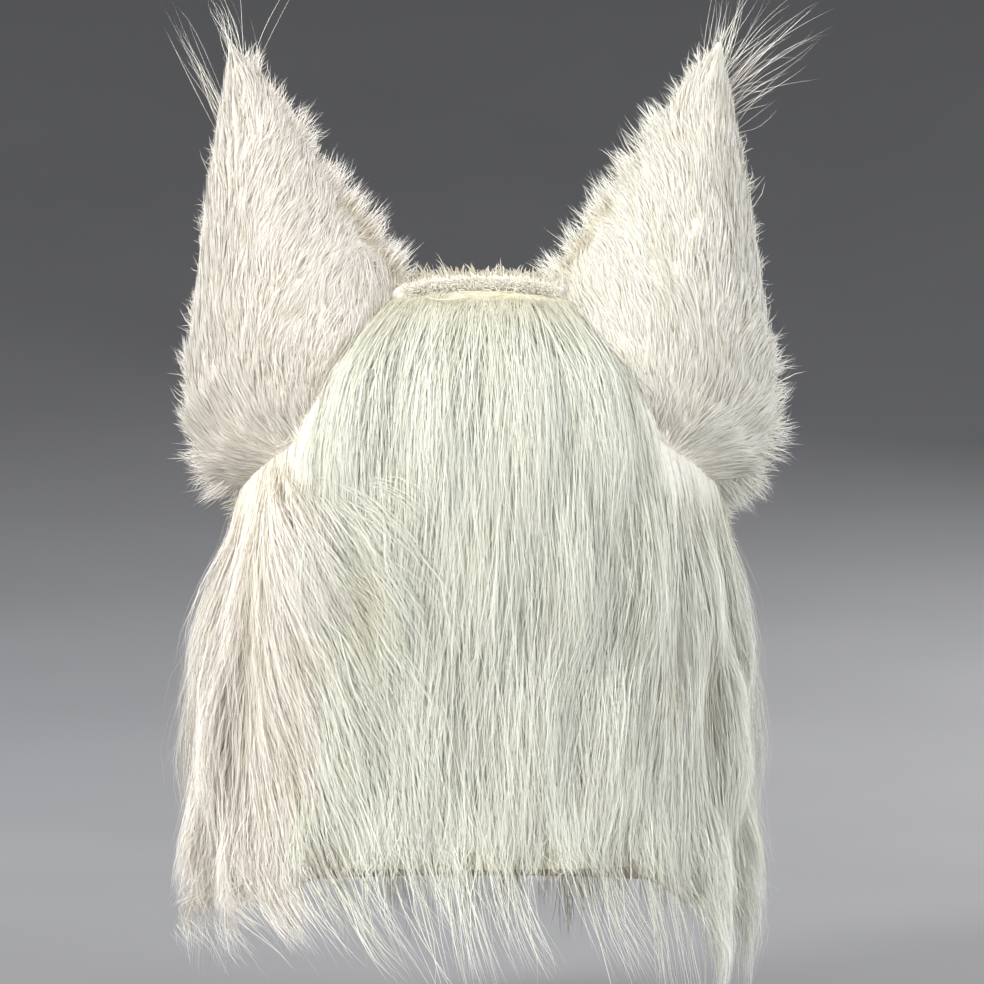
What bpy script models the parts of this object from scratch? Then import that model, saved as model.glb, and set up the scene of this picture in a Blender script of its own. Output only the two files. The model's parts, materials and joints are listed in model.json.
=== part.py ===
"""A furry wolf mask: a foam hood and muzzle covered in fur panels, with two tall padded ears.

Metres, +Z up. The wolf looks along -Y, so its left ear is at +X. The origin is the point where the
wearer's crown touches the inside of the hood. A place on the head is told by its turn, the angle
round the head from the middle of the back towards +X, and its fall, the height below the crown.
"""

import math

import bmesh
import bpy
from mathutils import Matrix, Vector

# The hood, a foam dome with a neck skirt
HOOD_WIDTH = 0.256
HOOD_BACK = 0.134
HOOD_FRONT = 0.116
HOOD_HEIGHT = 0.330
HOOD_WALL = 0.005
CROWN_SHARE = 0.39
CROWN_POWER = 2.4
SECTION_POWER = 2.2
CENTRE_HEM_RISE = 0.022
HEM_RISE_FROM = math.radians(34)
HEM_RISE_TO = math.radians(56)
HOOD_COLUMNS = 32
HOOD_ROWS = 10
ROW_CROWDING = 1.6
HEM_CLEARANCE = 1.02

# Shares of the hood's height, half width, back and front, from the crown's widest level to the hem
NECK_ROWS = (
    # height, width, back, front
    (0.39, 1.00, 1.00, 1.00),
    (0.52, 1.01, 0.97, 0.97),
    (0.65, 1.03, 0.91, 0.90),
    (0.80, 1.04, 0.88, 0.88),
    (1.00, 1.05, 0.91, 0.94),
)

# The clearance that touching pieces keep, and the wider one between moving strands of two panels
SEAT_GAP = 0.0003
PANEL_GAP = 0.0012
EAR_GAP = 0.0006
CHEEK_GAP = 0.0030

# The fur panels' woven backing and the short pile of the face
BACKING = 0.0024
FACE_PILE = 0.0085
MUZZLE_PILE = 0.0050
BACKING_SINK = 0.0020

# Edges of the panels, as turns round the head
BACK_EDGE = math.radians(46)
SIDE_EDGE_ROWS = (
    # height, turn of the side panel's front edge in degrees
    (0.00, 93.0),
    (0.34, 97.0),
    (0.52, 114.0),
    (0.68, 122.0),
    (1.00, 126.0),
)
CROWN_SEAM_FRONT = 0.049
CROWN_SEAM_FALL = 0.0126
CROWN_SEAM_THICKNESS = 0.0028
CROWN_SEAM_EDGE = math.radians(41)
CROWN_SEAM_COLUMNS = 13
CHEEK_STEPS = 7
SIDE_TOP = 0.078
THROAT_TOP = 0.226

# The long pile lies as an even coat with locks raised on it
COAT_DEPTH = 0.0115
COAT_RISE_LENGTH = 0.045
PILE_LENGTH = 0.122
HAIR_END = 0.386
LOCK_WIDTH = 0.047
LOCK_RISE = 0.0115
LOCK_SINK = 0.0040
LOCK_WOBBLE = 0.009
SIDE_FIRST_TIP = 0.150
THROAT_FIRST_TIP = 0.110

# Each side panel's locks: their fluff as a share of the rise, and for the lowest ones how far they
# sweep to the back, as a turn, and tuck in below the hem
SIDE_LOCKS = {
    # fluff, sweep, tuck
    "left": (1.25, 0.34, 0.045),
    "right": (0.90, 0.0, 0.015),
}

# Each panel's coat columns and its grid of locks, whose length goes from the first share of the pile
# in its top row to the second in its lowest
PANELS = {
    # coat columns, lock columns, lock rows, first length, last length
    "back": (11, 5, 4, 0.92, 1.00),
    "side": (9, 4, 3, 0.88, 1.00),
    "throat": (11, 4, 2, 0.80, 0.90),
}
WOBBLE_STEPS = (7.3, 4.1)

# A lock's rings from root to tip, as shares of its length, width and rise
LOCK_ROWS = (
    # length, width, rise
    (0.00, 0.62, -0.15),
    (0.28, 1.00, 0.80),
    (0.68, 0.86, 1.00),
)

# The muzzle, from the face to the nose
MUZZLE_LENGTH = 0.094
MUZZLE_WIDTH = 0.098
MUZZLE_HEIGHT = 0.080
MUZZLE_TOP = -0.127
MUZZLE_WALL = 0.005
MUZZLE_POWER = 2.5
MUZZLE_COLUMNS = 16
MUZZLE_ROWS = (
    # length, width, top, bottom
    (-0.42, 1.16, 0.14, -1.06),
    (0.00, 1.00, 0.02, -1.00),
    (0.30, 0.86, -0.07, -0.98),
    (0.62, 0.74, -0.13, -0.94),
    (0.86, 0.64, -0.17, -0.88),
    (0.97, 0.46, -0.25, -0.76),
)

# The rounding of the muzzle's tip: one ring part of the way in, pushed forward
MUZZLE_TIP_INWARD = 0.50
MUZZLE_TIP_FORWARD = 0.40

# The nose pad, sunk into the muzzle's tip and narrower below than above
NOSE_WIDTH = 0.046
NOSE_HEIGHT = 0.031
NOSE_DEPTH = 0.032
NOSE_DROP = 0.022
NOSE_SINK = 0.004
NOSE_TAPER = 0.20

# The eyes, almond openings closed by a dark screen
EYE_WIDTH = 0.047
EYE_HEIGHT = 0.025
EYE_TILT = math.radians(17)
EYE_APART = 0.088
EYE_DROP = 0.104
EYE_SCREEN_INSET = 0.0012
EYE_SCREEN_THICKNESS = 0.0020
EYE_RIM = 0.003
EYE_STEPS = 14
EYE_POWER = 1.35

# The ears, padded leaves cupped round the sides of the head
EAR_LENGTH = 0.193
EAR_WIDTH = 0.146
EAR_CUP = 0.078
EAR_CUP_POWER = 0.55
EAR_THICKNESS = 0.015
EAR_THINNING = 0.45
EAR_EDGE_SHARE = 0.55
EAR_EDGE_STEP = 0.04
EAR_APART = 0.1836
EAR_DROP = 0.048
EAR_BACK = 0.012
EAR_LEAN_LEFT = math.radians(13.3)
EAR_LEAN_RIGHT = math.radians(11.8)
EAR_COLUMNS = 6
EAR_ROWS = (
    # inner edge: along, across; outer edge: along, across; cup
    (0.08, -0.37, -0.27, 0.27, 1.00),
    (0.22, -0.40, -0.20, 0.41, 0.96),
    (0.31, -0.365, -0.05, 0.47, 0.84),
    (0.44, -0.29, 0.13, 0.42, 0.66),
    (0.58, -0.21, 0.34, 0.32, 0.47),
    (0.74, -0.13, 0.58, 0.205, 0.30),
    (0.88, -0.065, 0.80, 0.095, 0.15),
)
EAR_TIP_CUP = 0.02

# The spiky locks round an ear's rim, and the long ones inside it
RIM_LOCK_LENGTH = 0.027
RIM_LOCK_WIDTH = 0.013
RIM_LOCK_SINK = 0.004
RIM_LOCK_FLATNESS = 0.6
RIM_LOCK_UNEVEN = 0.12
RIM_LOCK_OUT = 0.75
RIM_LOCK_UP = 0.15
RIM_LOCK_UP_PER_ROW = 0.13
RIM_LOCK_RUNS = (
    # edge, first and last row of the ear, locks
    (-1, 1.8, 5.6, 7),
    (1, 1.2, 3.4, 5),
)
SPIKE_ROWS = (
    # share of the length, share of the width
    (0.0, 1.00),
    (0.6, 0.72),
)
TUFT_WIDTH = 0.016
TUFT_THICKNESS = 0.007
TUFT_PAD_BACK = -1.20
TUFT_PAD_FRONT = -1.75
TUFT_ROOT = -1.60
TUFT_ROWS = (
    # root: row of the ear, share across; tip: across, along, forward
    (2.2, 0.34, -0.13, 0.64, 0.08),
    (2.2, 0.55, 0.02, 0.70, 0.10),
    (2.2, 0.74, 0.24, 0.56, 0.06),
    (3.4, 0.40, -0.05, 0.88, 0.10),
    (3.4, 0.64, 0.12, 0.82, 0.09),
    (4.2, 0.44, -0.03, 1.10, 0.09),
    (4.2, 0.60, 0.09, 1.05, 0.10),
)

# Finishes: red, green and blue as Blender's linear values, then roughness
FINISHES = {
    "long pile fur": (0.80, 0.78, 0.70, 0.60),
    "short pile fur": (0.83, 0.80, 0.73, 0.65),
    "bare backing": (0.66, 0.60, 0.38, 0.80),
    "foam": (0.60, 0.56, 0.45, 0.90),
    "moulded nose": (0.012, 0.011, 0.012, 0.35),
    "eye screen": (0.02, 0.02, 0.022, 0.50),
}
SHARP_ANGLE = math.radians(50)


def clear_scene():
    for old in list(bpy.data.objects):
        bpy.data.objects.remove(old)


def make_collection(name):
    collection = bpy.data.collections.new(name)
    bpy.context.scene.collection.children.link(collection)
    return collection


def make_material(name):
    *colour, roughness = FINISHES[name]
    material = bpy.data.materials.new(name)
    material.use_nodes = True
    shader = material.node_tree.nodes["Principled BSDF"]
    shader.inputs["Base Color"].default_value = (*colour, 1.0)
    shader.inputs["Roughness"].default_value = roughness
    shader.inputs["Metallic"].default_value = 0.0
    return material


def smooth_row(rows, at):
    """The columns after the first at a value of the first, on a cubic through the rows."""
    last = len(rows) - 1
    at = min(max(at, rows[0][0]), rows[last][0])
    i = max(k for k in range(last) if rows[k][0] <= at)
    span = rows[i + 1][0] - rows[i][0]
    t = (at - rows[i][0]) / span

    def slope(k, column):
        before, after = max(k - 1, 0), min(k + 1, last)
        return (rows[after][column] - rows[before][column]) / (rows[after][0] - rows[before][0])

    values = []
    for column in range(1, len(rows[0])):
        start, end = rows[i][column], rows[i + 1][column]
        start_slope, end_slope = slope(i, column) * span, slope(i + 1, column) * span
        values.append(
            start * (2 * t**3 - 3 * t**2 + 1)
            + start_slope * (t**3 - 2 * t**2 + t)
            + end * (3 * t**2 - 2 * t**3)
            + end_slope * (t**3 - t**2)
        )
    return values


def fade(value, low, high):
    """1 below low, 0 above high, and a half cosine between them."""
    share = min(max((value - low) / (high - low), 0.0), 1.0)
    return 0.5 + 0.5 * math.cos(math.pi * share)


def superpower(value, power):
    return math.copysign(abs(value) ** power, value)


# The head's shape


def hem_fall(turn):
    """How far the hem hangs below the crown: the middle of the back is cut higher."""
    turn = (turn + math.pi) % (2 * math.pi) - math.pi
    return HOOD_HEIGHT - CENTRE_HEM_RISE * fade(abs(turn), HEM_RISE_FROM, HEM_RISE_TO)


def head_section(fall):
    """(half width, back, front) of the hood at a height below the crown."""
    share = max(fall, 0.0) / HOOD_HEIGHT
    inward = 1 - min(share / CROWN_SHARE, 1.0)
    dome = max(1 - inward**CROWN_POWER, 0.0) ** (1 / CROWN_POWER)
    width, back, front = smooth_row(NECK_ROWS, share)
    return HOOD_WIDTH / 2 * dome * width, HOOD_BACK * dome * back, HOOD_FRONT * dome * front


def hood_point(turn, fall):
    half_width, back, front = head_section(fall)
    across, along = math.sin(turn), math.cos(turn)
    depth = back if along > 0 else front
    power = 2 / SECTION_POWER
    return Vector(
        (half_width * superpower(across, power), depth * superpower(along, power), HOOD_WALL - fall)
    )


def head_point(turn, fall, lift=0.0):
    """A point lifted off the hood's outer surface, along the surface's own direction outwards."""
    small_turn, small_fall = 0.02, 0.0015
    if fall < 2 * small_fall:
        out = Vector((0, 0, 1))
    else:
        round_head = hood_point(turn + small_turn, fall) - hood_point(turn - small_turn, fall)
        down_head = hood_point(turn, fall + small_fall) - hood_point(turn, fall - small_fall)
        out = round_head.cross(down_head).normalized()
    return hood_point(turn, fall) + out * lift


def slope_fall(turn, y):
    """How far below the crown the dome's rear slope reaches a given y."""
    dome = y / (HOOD_BACK * math.cos(turn) ** (2 / SECTION_POWER))
    return HOOD_HEIGHT * CROWN_SHARE * (1 - (1 - dome**CROWN_POWER) ** (1 / CROWN_POWER))


def face_depth(x, z):
    """The hood's outer surface at the front, as y for a given x and z."""
    half_width, _, front = head_section(HOOD_WALL - z)
    share = min(abs(x) / half_width, 1.0)
    return -front * (1 - share**SECTION_POWER) ** (1 / SECTION_POWER)


# Making solids


def put_mesh(name, points, faces, collection, material=None):
    mesh = bpy.data.meshes.new(name)
    mesh.from_pydata([tuple(p) for p in points], [], faces)
    mesh.update()
    built = bpy.data.objects.new(name, mesh)
    collection.objects.link(built)
    if material:
        mesh.materials.append(material)
        mesh.shade_smooth()
        mesh.set_sharp_from_angle(angle=SHARP_ANGLE)
    return built


def fold_cap(start, count):
    """Faces across a folded ring, whose second half runs back beside its first."""
    half = count // 2
    return [
        (start + k, start + k + 1, start + count - 2 - k, start + count - 1 - k) for k in range(half - 1)
    ]


def loft(rings, cap_start, cap_end):
    """(points, faces) of closed rings joined in order. A one-point ring is a pole.

    A cap is None, "flat" for one face, or "fold" for a ring that runs out and back.
    """
    points, faces, starts = [], [], []
    for ring in rings:
        starts.append(len(points))
        points.extend(ring)
    for a, b in zip(range(len(rings) - 1), range(1, len(rings))):
        first, second = rings[a], rings[b]
        count = max(len(first), len(second))
        for k in range(count):
            after = (k + 1) % count
            if len(first) == 1:
                faces.append((starts[a], starts[b] + k, starts[b] + after))
            elif len(second) == 1:
                faces.append((starts[a] + k, starts[b], starts[a] + after))
            else:
                faces.append((starts[a] + k, starts[b] + k, starts[b] + after, starts[a] + after))
    for cap, start, ring in ((cap_start, 0, rings[0]), (cap_end, starts[-1], rings[-1])):
        if cap == "flat":
            faces.append(tuple(start + k for k in range(len(ring))))
        elif cap == "fold":
            faces.extend(fold_cap(start, len(ring)))
    return points, faces


def face_outwards(built):
    """Turns a mesh's faces outwards, after splitting its uneven ones into triangles."""
    editor = bmesh.new()
    editor.from_mesh(built.data)
    uneven = [face for face in editor.faces if len(face.verts) < 5]
    bmesh.ops.triangulate(editor, faces=uneven, quad_method="FIXED")
    bmesh.ops.recalc_face_normals(editor, faces=editor.faces)
    editor.to_mesh(built.data)
    editor.free()
    return built


def put_helper(built):
    built.hide_render = True
    built.display_type = "WIRE"
    return built


def combine(built, other, operation):
    step = built.modifiers.new(f"{operation.title()} {other.name}", "BOOLEAN")
    step.operation = operation
    step.solver = "EXACT"
    step.use_self = operation == "UNION"
    step.object = other


def add_wall(built, thickness):
    wall = built.modifiers.new("Wall", "SOLIDIFY")
    wall.thickness = thickness
    wall.offset = -1
    wall.use_even_offset = True


# The hood


def row_shares():
    """Where the hood's rings lie between crown and hem, crowded towards the crown."""
    return [(row / HOOD_ROWS) ** ROW_CROWDING for row in range(1, HOOD_ROWS + 1)]


def hood_rings(lift, below_hem=()):
    """Rings from the crown's pole to the hem, and past it at the shares below_hem."""
    rings = [[head_point(0, 0, lift)]]
    for share in [*row_shares(), *below_hem]:
        turns = [2 * math.pi * k / HOOD_COLUMNS for k in range(HOOD_COLUMNS)]
        rings.append([head_point(turn, share * hem_fall(turn), lift) for turn in turns])
    return rings


def head_block(name, lift, collection):
    """The whole head as one closed solid, lifted off the hood: a cutter for what sits on it."""
    points, faces = loft(hood_rings(lift, [HEM_CLEARANCE]), None, "flat")
    return put_helper(face_outwards(put_mesh(name, points, faces, collection)))


def make_hood(parts, material, cutters):
    points, faces = loft(hood_rings(0.0), None, None)
    hood = face_outwards(put_mesh("hood", points, faces, parts, material))
    add_wall(hood, HOOD_WALL)
    for cutter in cutters:
        combine(hood, cutter, "DIFFERENCE")
    return hood


# The muzzle and nose


def muzzle_ring(share, outset):
    """One rounded section of the muzzle, grown outwards by outset."""
    width, top, bottom = smooth_row(MUZZLE_ROWS, share)
    half_width = MUZZLE_WIDTH / 2 * width + outset
    middle = MUZZLE_TOP + MUZZLE_HEIGHT * (top + bottom) / 2
    half_height = MUZZLE_HEIGHT * (top - bottom) / 2 + outset
    y = -HOOD_FRONT - MUZZLE_LENGTH * share - outset * max(share, 0.0)
    power = 2 / MUZZLE_POWER
    ring = []
    for k in range(MUZZLE_COLUMNS):
        angle = 2 * math.pi * k / MUZZLE_COLUMNS
        x = half_width * superpower(math.cos(angle), power)
        ring.append(Vector((x, y, middle + half_height * superpower(math.sin(angle), power))))
    return ring


def muzzle_rings(outset):
    shares = [row[0] for row in MUZZLE_ROWS]
    rings = [muzzle_ring(share, outset) for share in shares]
    last = rings[-1]
    centre = sum(last, Vector()) / len(last)
    tip = centre + Vector((0, -MUZZLE_LENGTH * (1 - shares[-1]), 0))
    forward = Vector((0, (tip.y - centre.y) * MUZZLE_TIP_FORWARD, 0))
    rings.append([point.lerp(tip, MUZZLE_TIP_INWARD) + forward for point in last])
    rings.append([tip])
    return rings


def muzzle_block(name, outset, collection):
    points, faces = loft(muzzle_rings(outset), "flat", None)
    return put_helper(face_outwards(put_mesh(name, points, faces, collection)))


def make_muzzle(parts, material, head_cutter, nose_cutter):
    points, faces = loft(muzzle_rings(0.0), None, None)
    muzzle = face_outwards(put_mesh("muzzle", points, faces, parts, material))
    add_wall(muzzle, MUZZLE_WALL)
    combine(muzzle, head_cutter, "DIFFERENCE")
    combine(muzzle, nose_cutter, "DIFFERENCE")
    return muzzle


def nose_centre():
    tip_y = -HOOD_FRONT - MUZZLE_LENGTH
    return Vector((0, tip_y + NOSE_SINK, MUZZLE_TOP - NOSE_DROP))


def nose_shape(name, grow, collection, material=None):
    """The nose pad: a ball drawn out to the pad's size, broader at the top than below."""
    editor = bmesh.new()
    bmesh.ops.create_uvsphere(editor, u_segments=16, v_segments=10, radius=1.0)
    for vertex in editor.verts:
        x, y, z = vertex.co
        taper = 1 - NOSE_TAPER + NOSE_TAPER * z
        vertex.co = Vector(
            (
                x * taper * (NOSE_WIDTH / 2 + grow),
                y * (NOSE_DEPTH / 2 + grow),
                z * (NOSE_HEIGHT / 2 + grow),
            )
        )
        vertex.co += nose_centre()
    mesh = bpy.data.meshes.new(name)
    editor.to_mesh(mesh)
    editor.free()
    built = bpy.data.objects.new(name, mesh)
    collection.objects.link(built)
    if material:
        mesh.materials.append(material)
        mesh.shade_smooth()
    return built


# The eyes


def eye_outline(side, grow):
    """(x, z) points round an almond eye, with its outer corner raised."""
    points = []
    for k in range(EYE_STEPS):
        angle = 2 * math.pi * k / EYE_STEPS
        along = (EYE_WIDTH / 2 + grow) * math.cos(angle)
        up = (EYE_HEIGHT / 2 + grow) * superpower(math.sin(angle), EYE_POWER)
        x = along * math.cos(EYE_TILT) - up * math.sin(EYE_TILT)
        z = along * math.sin(EYE_TILT) + up * math.cos(EYE_TILT)
        points.append((side * (EYE_APART / 2 + x), -EYE_DROP + z))
    return points


def eye_block(name, side, grow, collection):
    """A straight bar with the eye's outline, which cuts the openings."""
    outline = eye_outline(side, grow)
    near, far = -2 * HOOD_FRONT, -HOOD_FRONT / 4
    rings = [[Vector((x, y, z)) for x, z in outline] for y in (near, far)]
    points, faces = loft(rings, "flat", "flat")
    return put_helper(face_outwards(put_mesh(name, points, faces, collection)))


def make_eye_screen(name, side, parts, material):
    """A thin plate that follows the face inside the eye's opening."""
    layers = []
    for inset in (EYE_SCREEN_INSET, EYE_SCREEN_INSET + EYE_SCREEN_THICKNESS):
        outline = eye_outline(side, -SEAT_GAP)
        centre_x = sum(x for x, _ in outline) / EYE_STEPS
        centre_z = sum(z for _, z in outline) / EYE_STEPS
        rings = [[Vector((centre_x, face_depth(centre_x, centre_z) + inset, centre_z))]]
        for share in (0.5, 1.0):
            ring = []
            for x, z in outline:
                x = centre_x + (x - centre_x) * share
                z = centre_z + (z - centre_z) * share
                ring.append(Vector((x, face_depth(x, z) + inset, z)))
            rings.append(ring)
        layers.append(rings)
    outer, inner = layers
    points, faces = loft(outer + inner[::-1], None, None)
    return face_outwards(put_mesh(name, points, faces, parts, material))


# Fur in locks


def side_edge(fall):
    """The turn of the side panel's front edge at a height."""
    return math.radians(smooth_row(SIDE_EDGE_ROWS, fall / HOOD_HEIGHT)[0])


def coat_lift(fall, top):
    """The long coat's height over the hood: thin at the panel's top, soon even."""
    return BACKING + (COAT_DEPTH - BACKING) * (1 - fade(fall, top, top + COAT_RISE_LENGTH))


def lock_rings(turn, fall, length, top, limits, fluff=1.0, sweep=0.0, tuck=0.0):
    """A lock raised on the coat, kept between the panel's edges: three-sided rings and a tip.

    The lock follows the head down by length, and fluff is a factor on its rise. It drifts round the
    head by sweep and ends tucked in by tuck. Its underside and tip stay within the coat.
    """
    rings = []
    for share, width, rise in LOCK_ROWS:
        down = fall + length * share
        low, high = limits(down)
        half_width, back, _ = head_section(down)
        spread = LOCK_WIDTH * width / (half_width + back)
        middle = min(max(turn + sweep * share, low + spread), high - spread)
        coat = coat_lift(down, top) - tuck * share**3
        rings.append(
            [
                head_point(middle - spread, down, coat - LOCK_SINK),
                head_point(middle, down, coat + LOCK_RISE * fluff * rise),
                head_point(middle + spread, down, coat - LOCK_SINK),
            ]
        )
    rings.append([head_point(middle, fall + length, coat - LOCK_SINK / 2)])
    return rings


def make_locks(name, locks, collection):
    """Many overlapping locks as one helper, which a panel's backing is joined with."""
    points, faces = [], []
    for rings in locks:
        more_points, more_faces = loft(rings, "flat", None)
        start = len(points)
        points.extend(more_points)
        faces.extend(tuple(start + k for k in face) for face in more_faces)
    return put_helper(face_outwards(put_mesh(name, points, faces, collection)))


def panel_coat(name, turns, top, parts, material):
    """A panel's coat between turns, from a fall to the hem. The hood's shape is cut from it later.

    Its rows lie on the hood's own rings, so that it stays even over the hood's facets.
    """
    shares = [top / HOOD_HEIGHT] + [share for share in row_shares() if HOOD_HEIGHT * share > top * 1.1]
    rings = []
    for share in shares:
        fall = HOOD_HEIGHT * share
        columns = [(turn_at(turn, fall), max(top, share * hem_fall(turn))) for turn in turns]
        outer = [head_point(turn, down, coat_lift(down, top)) for turn, down in columns]
        inner = [head_point(turn, down, -BACKING_SINK) for turn, down in columns]
        rings.append(outer[::-1] + inner)
    points, faces = loft(rings, "fold", "fold")
    return face_outwards(put_mesh(name, points, faces, parts, material))


def turn_at(turn, fall):
    """A panel column's turn at a height: columns past the back edge fan out to the side's edge."""
    widest = math.radians(SIDE_EDGE_ROWS[-1][1])
    if abs(turn) <= BACK_EDGE or abs(turn) > widest:
        return turn
    share = (abs(turn) - BACK_EDGE) / (widest - BACK_EDGE)
    return math.copysign(BACK_EDGE + share * (side_edge(fall) - BACK_EDGE), turn)


def spaced(low, high, count):
    return [low + (high - low) * k / (count - 1) for k in range(count)]


def shingle(columns, rows, low, high):
    """(turn, share of the way down, wobble) of each lock, with every other row between the columns."""
    found = []
    inset = (high - low) / (2 * columns)
    for row in range(rows):
        short = (rows - 1 - row) % 2
        aside = inset * (1 + short)
        for column, turn in enumerate(spaced(low + aside, high - aside, columns - short)):
            wobble = math.sin(WOBBLE_STEPS[0] * column + WOBBLE_STEPS[1] * row)
            found.append((turn, row / (rows - 1), wobble))
    return found


def lock_places(panel, low, high, first_tip):
    """(turn, share of the way down, length, tip's fall) of each lock of a panel."""
    _, columns, rows, first, last = PANELS[panel]
    places = []
    for turn, share, wobble in shingle(columns, rows, low, high):
        length = PILE_LENGTH * (first + (last - first) * share)
        tip = first_tip + (HAIR_END - first_tip) * share + LOCK_WOBBLE * wobble
        places.append((turn, share, length, tip))
    return places


def add_locks(panel, locks, helpers, cutters):
    """Joins the locks to a panel's coat, then cuts the panel to what it sits on."""
    combine(panel, make_locks(f"{panel.name}_locks", locks, helpers), "UNION")
    for cutter in cutters:
        combine(panel, cutter, "DIFFERENCE")
    return panel


def make_back_fur(parts, helpers, material, cutters):
    """The long panel down the middle of the back, from the crown seam to past the hem."""
    edge = BACK_EDGE - PANEL_GAP / HOOD_BACK
    top = CROWN_SEAM_FALL + SEAT_GAP
    coat = panel_coat("back_fur", spaced(-edge, edge, PANELS["back"][0]), top, parts, material)
    locks = []
    for turn, _, length, tip in lock_places("back", -edge, edge, top + PILE_LENGTH):
        locks.append(lock_rings(turn, tip - length, length, top, lambda _: (-edge, edge)))
    return add_locks(coat, locks, helpers, cutters)


def make_side_fur(word, side, parts, helpers, material, cutters):
    """A long panel below one ear, round to the cheek. Its lowest locks may sweep and tuck in."""
    fluff, sweep, tuck = SIDE_LOCKS[word]
    low = BACK_EDGE + PANEL_GAP / HOOD_BACK
    high = math.radians(SIDE_EDGE_ROWS[-1][1]) - PANEL_GAP / HOOD_FRONT

    def limits(fall):
        edge = side_edge(fall) - PANEL_GAP / HOOD_FRONT
        return (low, edge) if side > 0 else (-edge, -low)

    turns = [side * turn for turn in spaced(low, high, PANELS["side"][0])]
    coat = panel_coat(f"side_fur_{word}", turns, SIDE_TOP, parts, material)
    locks = []
    for turn, share, length, tip in lock_places("side", low, high, SIDE_TOP + SIDE_FIRST_TIP):
        place = turn_at(side * turn, tip - length)
        drift = -side * sweep * share
        rings = lock_rings(
            place, tip - length, length, SIDE_TOP, limits, fluff, drift, tuck * share**3
        )
        locks.append(rings)
    return add_locks(coat, locks, helpers, cutters)


def make_throat_fur(parts, helpers, material, cutters):
    """The long panel below the chin, between the two side panels."""
    edge = math.radians(SIDE_EDGE_ROWS[-1][1]) + PANEL_GAP / HOOD_FRONT
    low, high = edge, 2 * math.pi - edge
    turns = spaced(low, high, PANELS["throat"][0])
    coat = panel_coat("throat_fur", turns, THROAT_TOP, parts, material)
    locks = []
    for turn, _, length, tip in lock_places("throat", low, high, THROAT_TOP + THROAT_FIRST_TIP):
        locks.append(lock_rings(turn, tip - length, length, THROAT_TOP, lambda _: (low, high)))
    return add_locks(coat, locks, helpers, cutters)


def make_crown_seam(parts, material, cutters):
    """The cream crescent of bare backing between the face's short fur and the long back panel."""
    end = CROWN_SEAM_FALL
    rings = []
    for turn in spaced(-CROWN_SEAM_EDGE, CROWN_SEAM_EDGE, CROWN_SEAM_COLUMNS):
        start = slope_fall(turn, CROWN_SEAM_FRONT + SEAT_GAP)
        rings.append(
            [
                head_point(turn, start, CROWN_SEAM_THICKNESS),
                head_point(turn, end, CROWN_SEAM_THICKNESS),
                head_point(turn, end, -BACKING_SINK),
                head_point(turn, start, -BACKING_SINK),
            ]
        )
    points, faces = loft(rings, "flat", "flat")
    band = face_outwards(put_mesh("crown_seam", points, faces, parts, material))
    for cutter in cutters:
        combine(band, cutter, "DIFFERENCE")
    return band


def face_region(collection):
    """What of the head the face's fur covers, as a side view pushed through the head."""
    outline = [(CROWN_SEAM_FRONT, HOOD_WIDTH / 2), (CROWN_SEAM_FRONT, -2 * CROWN_SEAM_FALL)]
    for fall in spaced(SIDE_TOP, THROAT_TOP - SEAT_GAP, CHEEK_STEPS):
        turn = side_edge(fall) + CHEEK_GAP / HOOD_FRONT
        outline.append((head_point(turn, fall, FACE_PILE).y, HOOD_WALL - fall))
    outline.append((-3 * HOOD_FRONT, HOOD_WALL - THROAT_TOP + SEAT_GAP))
    outline.append((-3 * HOOD_FRONT, HOOD_WIDTH / 2))
    rings = [[Vector((x, y, z)) for y, z in outline] for x in (-HOOD_WIDTH, HOOD_WIDTH)]
    points, faces = loft(rings, "flat", "flat")
    return put_helper(face_outwards(put_mesh("face_region", points, faces, collection)))


def make_face_fur(parts, helpers, material, cutters):
    """Short fur over the crown, brow, cheeks and muzzle, in one piece."""
    points, faces = loft(hood_rings(FACE_PILE), None, "flat")
    coat = face_outwards(put_mesh("face_fur", points, faces, parts, material))
    combine(coat, muzzle_block("muzzle_coat", MUZZLE_PILE, helpers), "UNION")
    combine(coat, face_region(helpers), "INTERSECT")
    for cutter in cutters:
        combine(coat, cutter, "DIFFERENCE")
    return coat


# The ears


def ear_frame(side):
    """(centre, along, across) of an ear: its base's middle, its way up and its way outwards."""
    lean = EAR_LEAN_LEFT if side > 0 else EAR_LEAN_RIGHT
    centre = Vector((side * EAR_APART / 2, EAR_BACK, -EAR_DROP))
    along = Vector((side * math.sin(lean), 0, math.cos(lean)))
    across = Vector((side * math.cos(lean), 0, -math.sin(lean)))
    return centre, along, across


def ear_place(side, across_share, along_share, back):
    centre, along, across = ear_frame(side)
    flat = centre + along * (EAR_LENGTH * along_share) + across * (EAR_WIDTH * across_share)
    return flat + Vector((0, back, 0))


def ear_middle(side, at, u):
    """A point of an ear's middle surface, at a fractional row of EAR_ROWS and a share u across."""
    row = min(int(at), len(EAR_ROWS) - 2)
    part = at - row
    shares = [low + (high - low) * part for low, high in zip(EAR_ROWS[row], EAR_ROWS[row + 1])]
    in_along, in_across, out_along, out_across, cup = shares
    inside = min(max(u, 0.0), 1.0)
    bulge = EAR_CUP * cup * math.sin(math.pi * inside) ** EAR_CUP_POWER
    along = in_along + (out_along - in_along) * inside
    across = in_across + (out_across - in_across) * inside
    return ear_place(side, across, along, bulge)


def ear_spot(side, at, u, layer, gap=0.0):
    """A point off an ear's middle surface: layer 1 is its back, -1 the hollow of its front."""
    _, along, _ = ear_frame(side)
    way = ear_middle(side, at, u + EAR_EDGE_STEP) - ear_middle(side, at, u - EAR_EDGE_STEP)
    out = along.cross(way).normalized() * side
    thinner = 1 - EAR_THINNING * at / (len(EAR_ROWS) - 1)
    fullness = EAR_EDGE_SHARE + (1 - EAR_EDGE_SHARE) * math.sin(math.pi * u)
    half_thickness = EAR_THICKNESS / 2 * thinner * fullness
    return ear_middle(side, at, u) + out * (layer * half_thickness + math.copysign(gap, layer))


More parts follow.
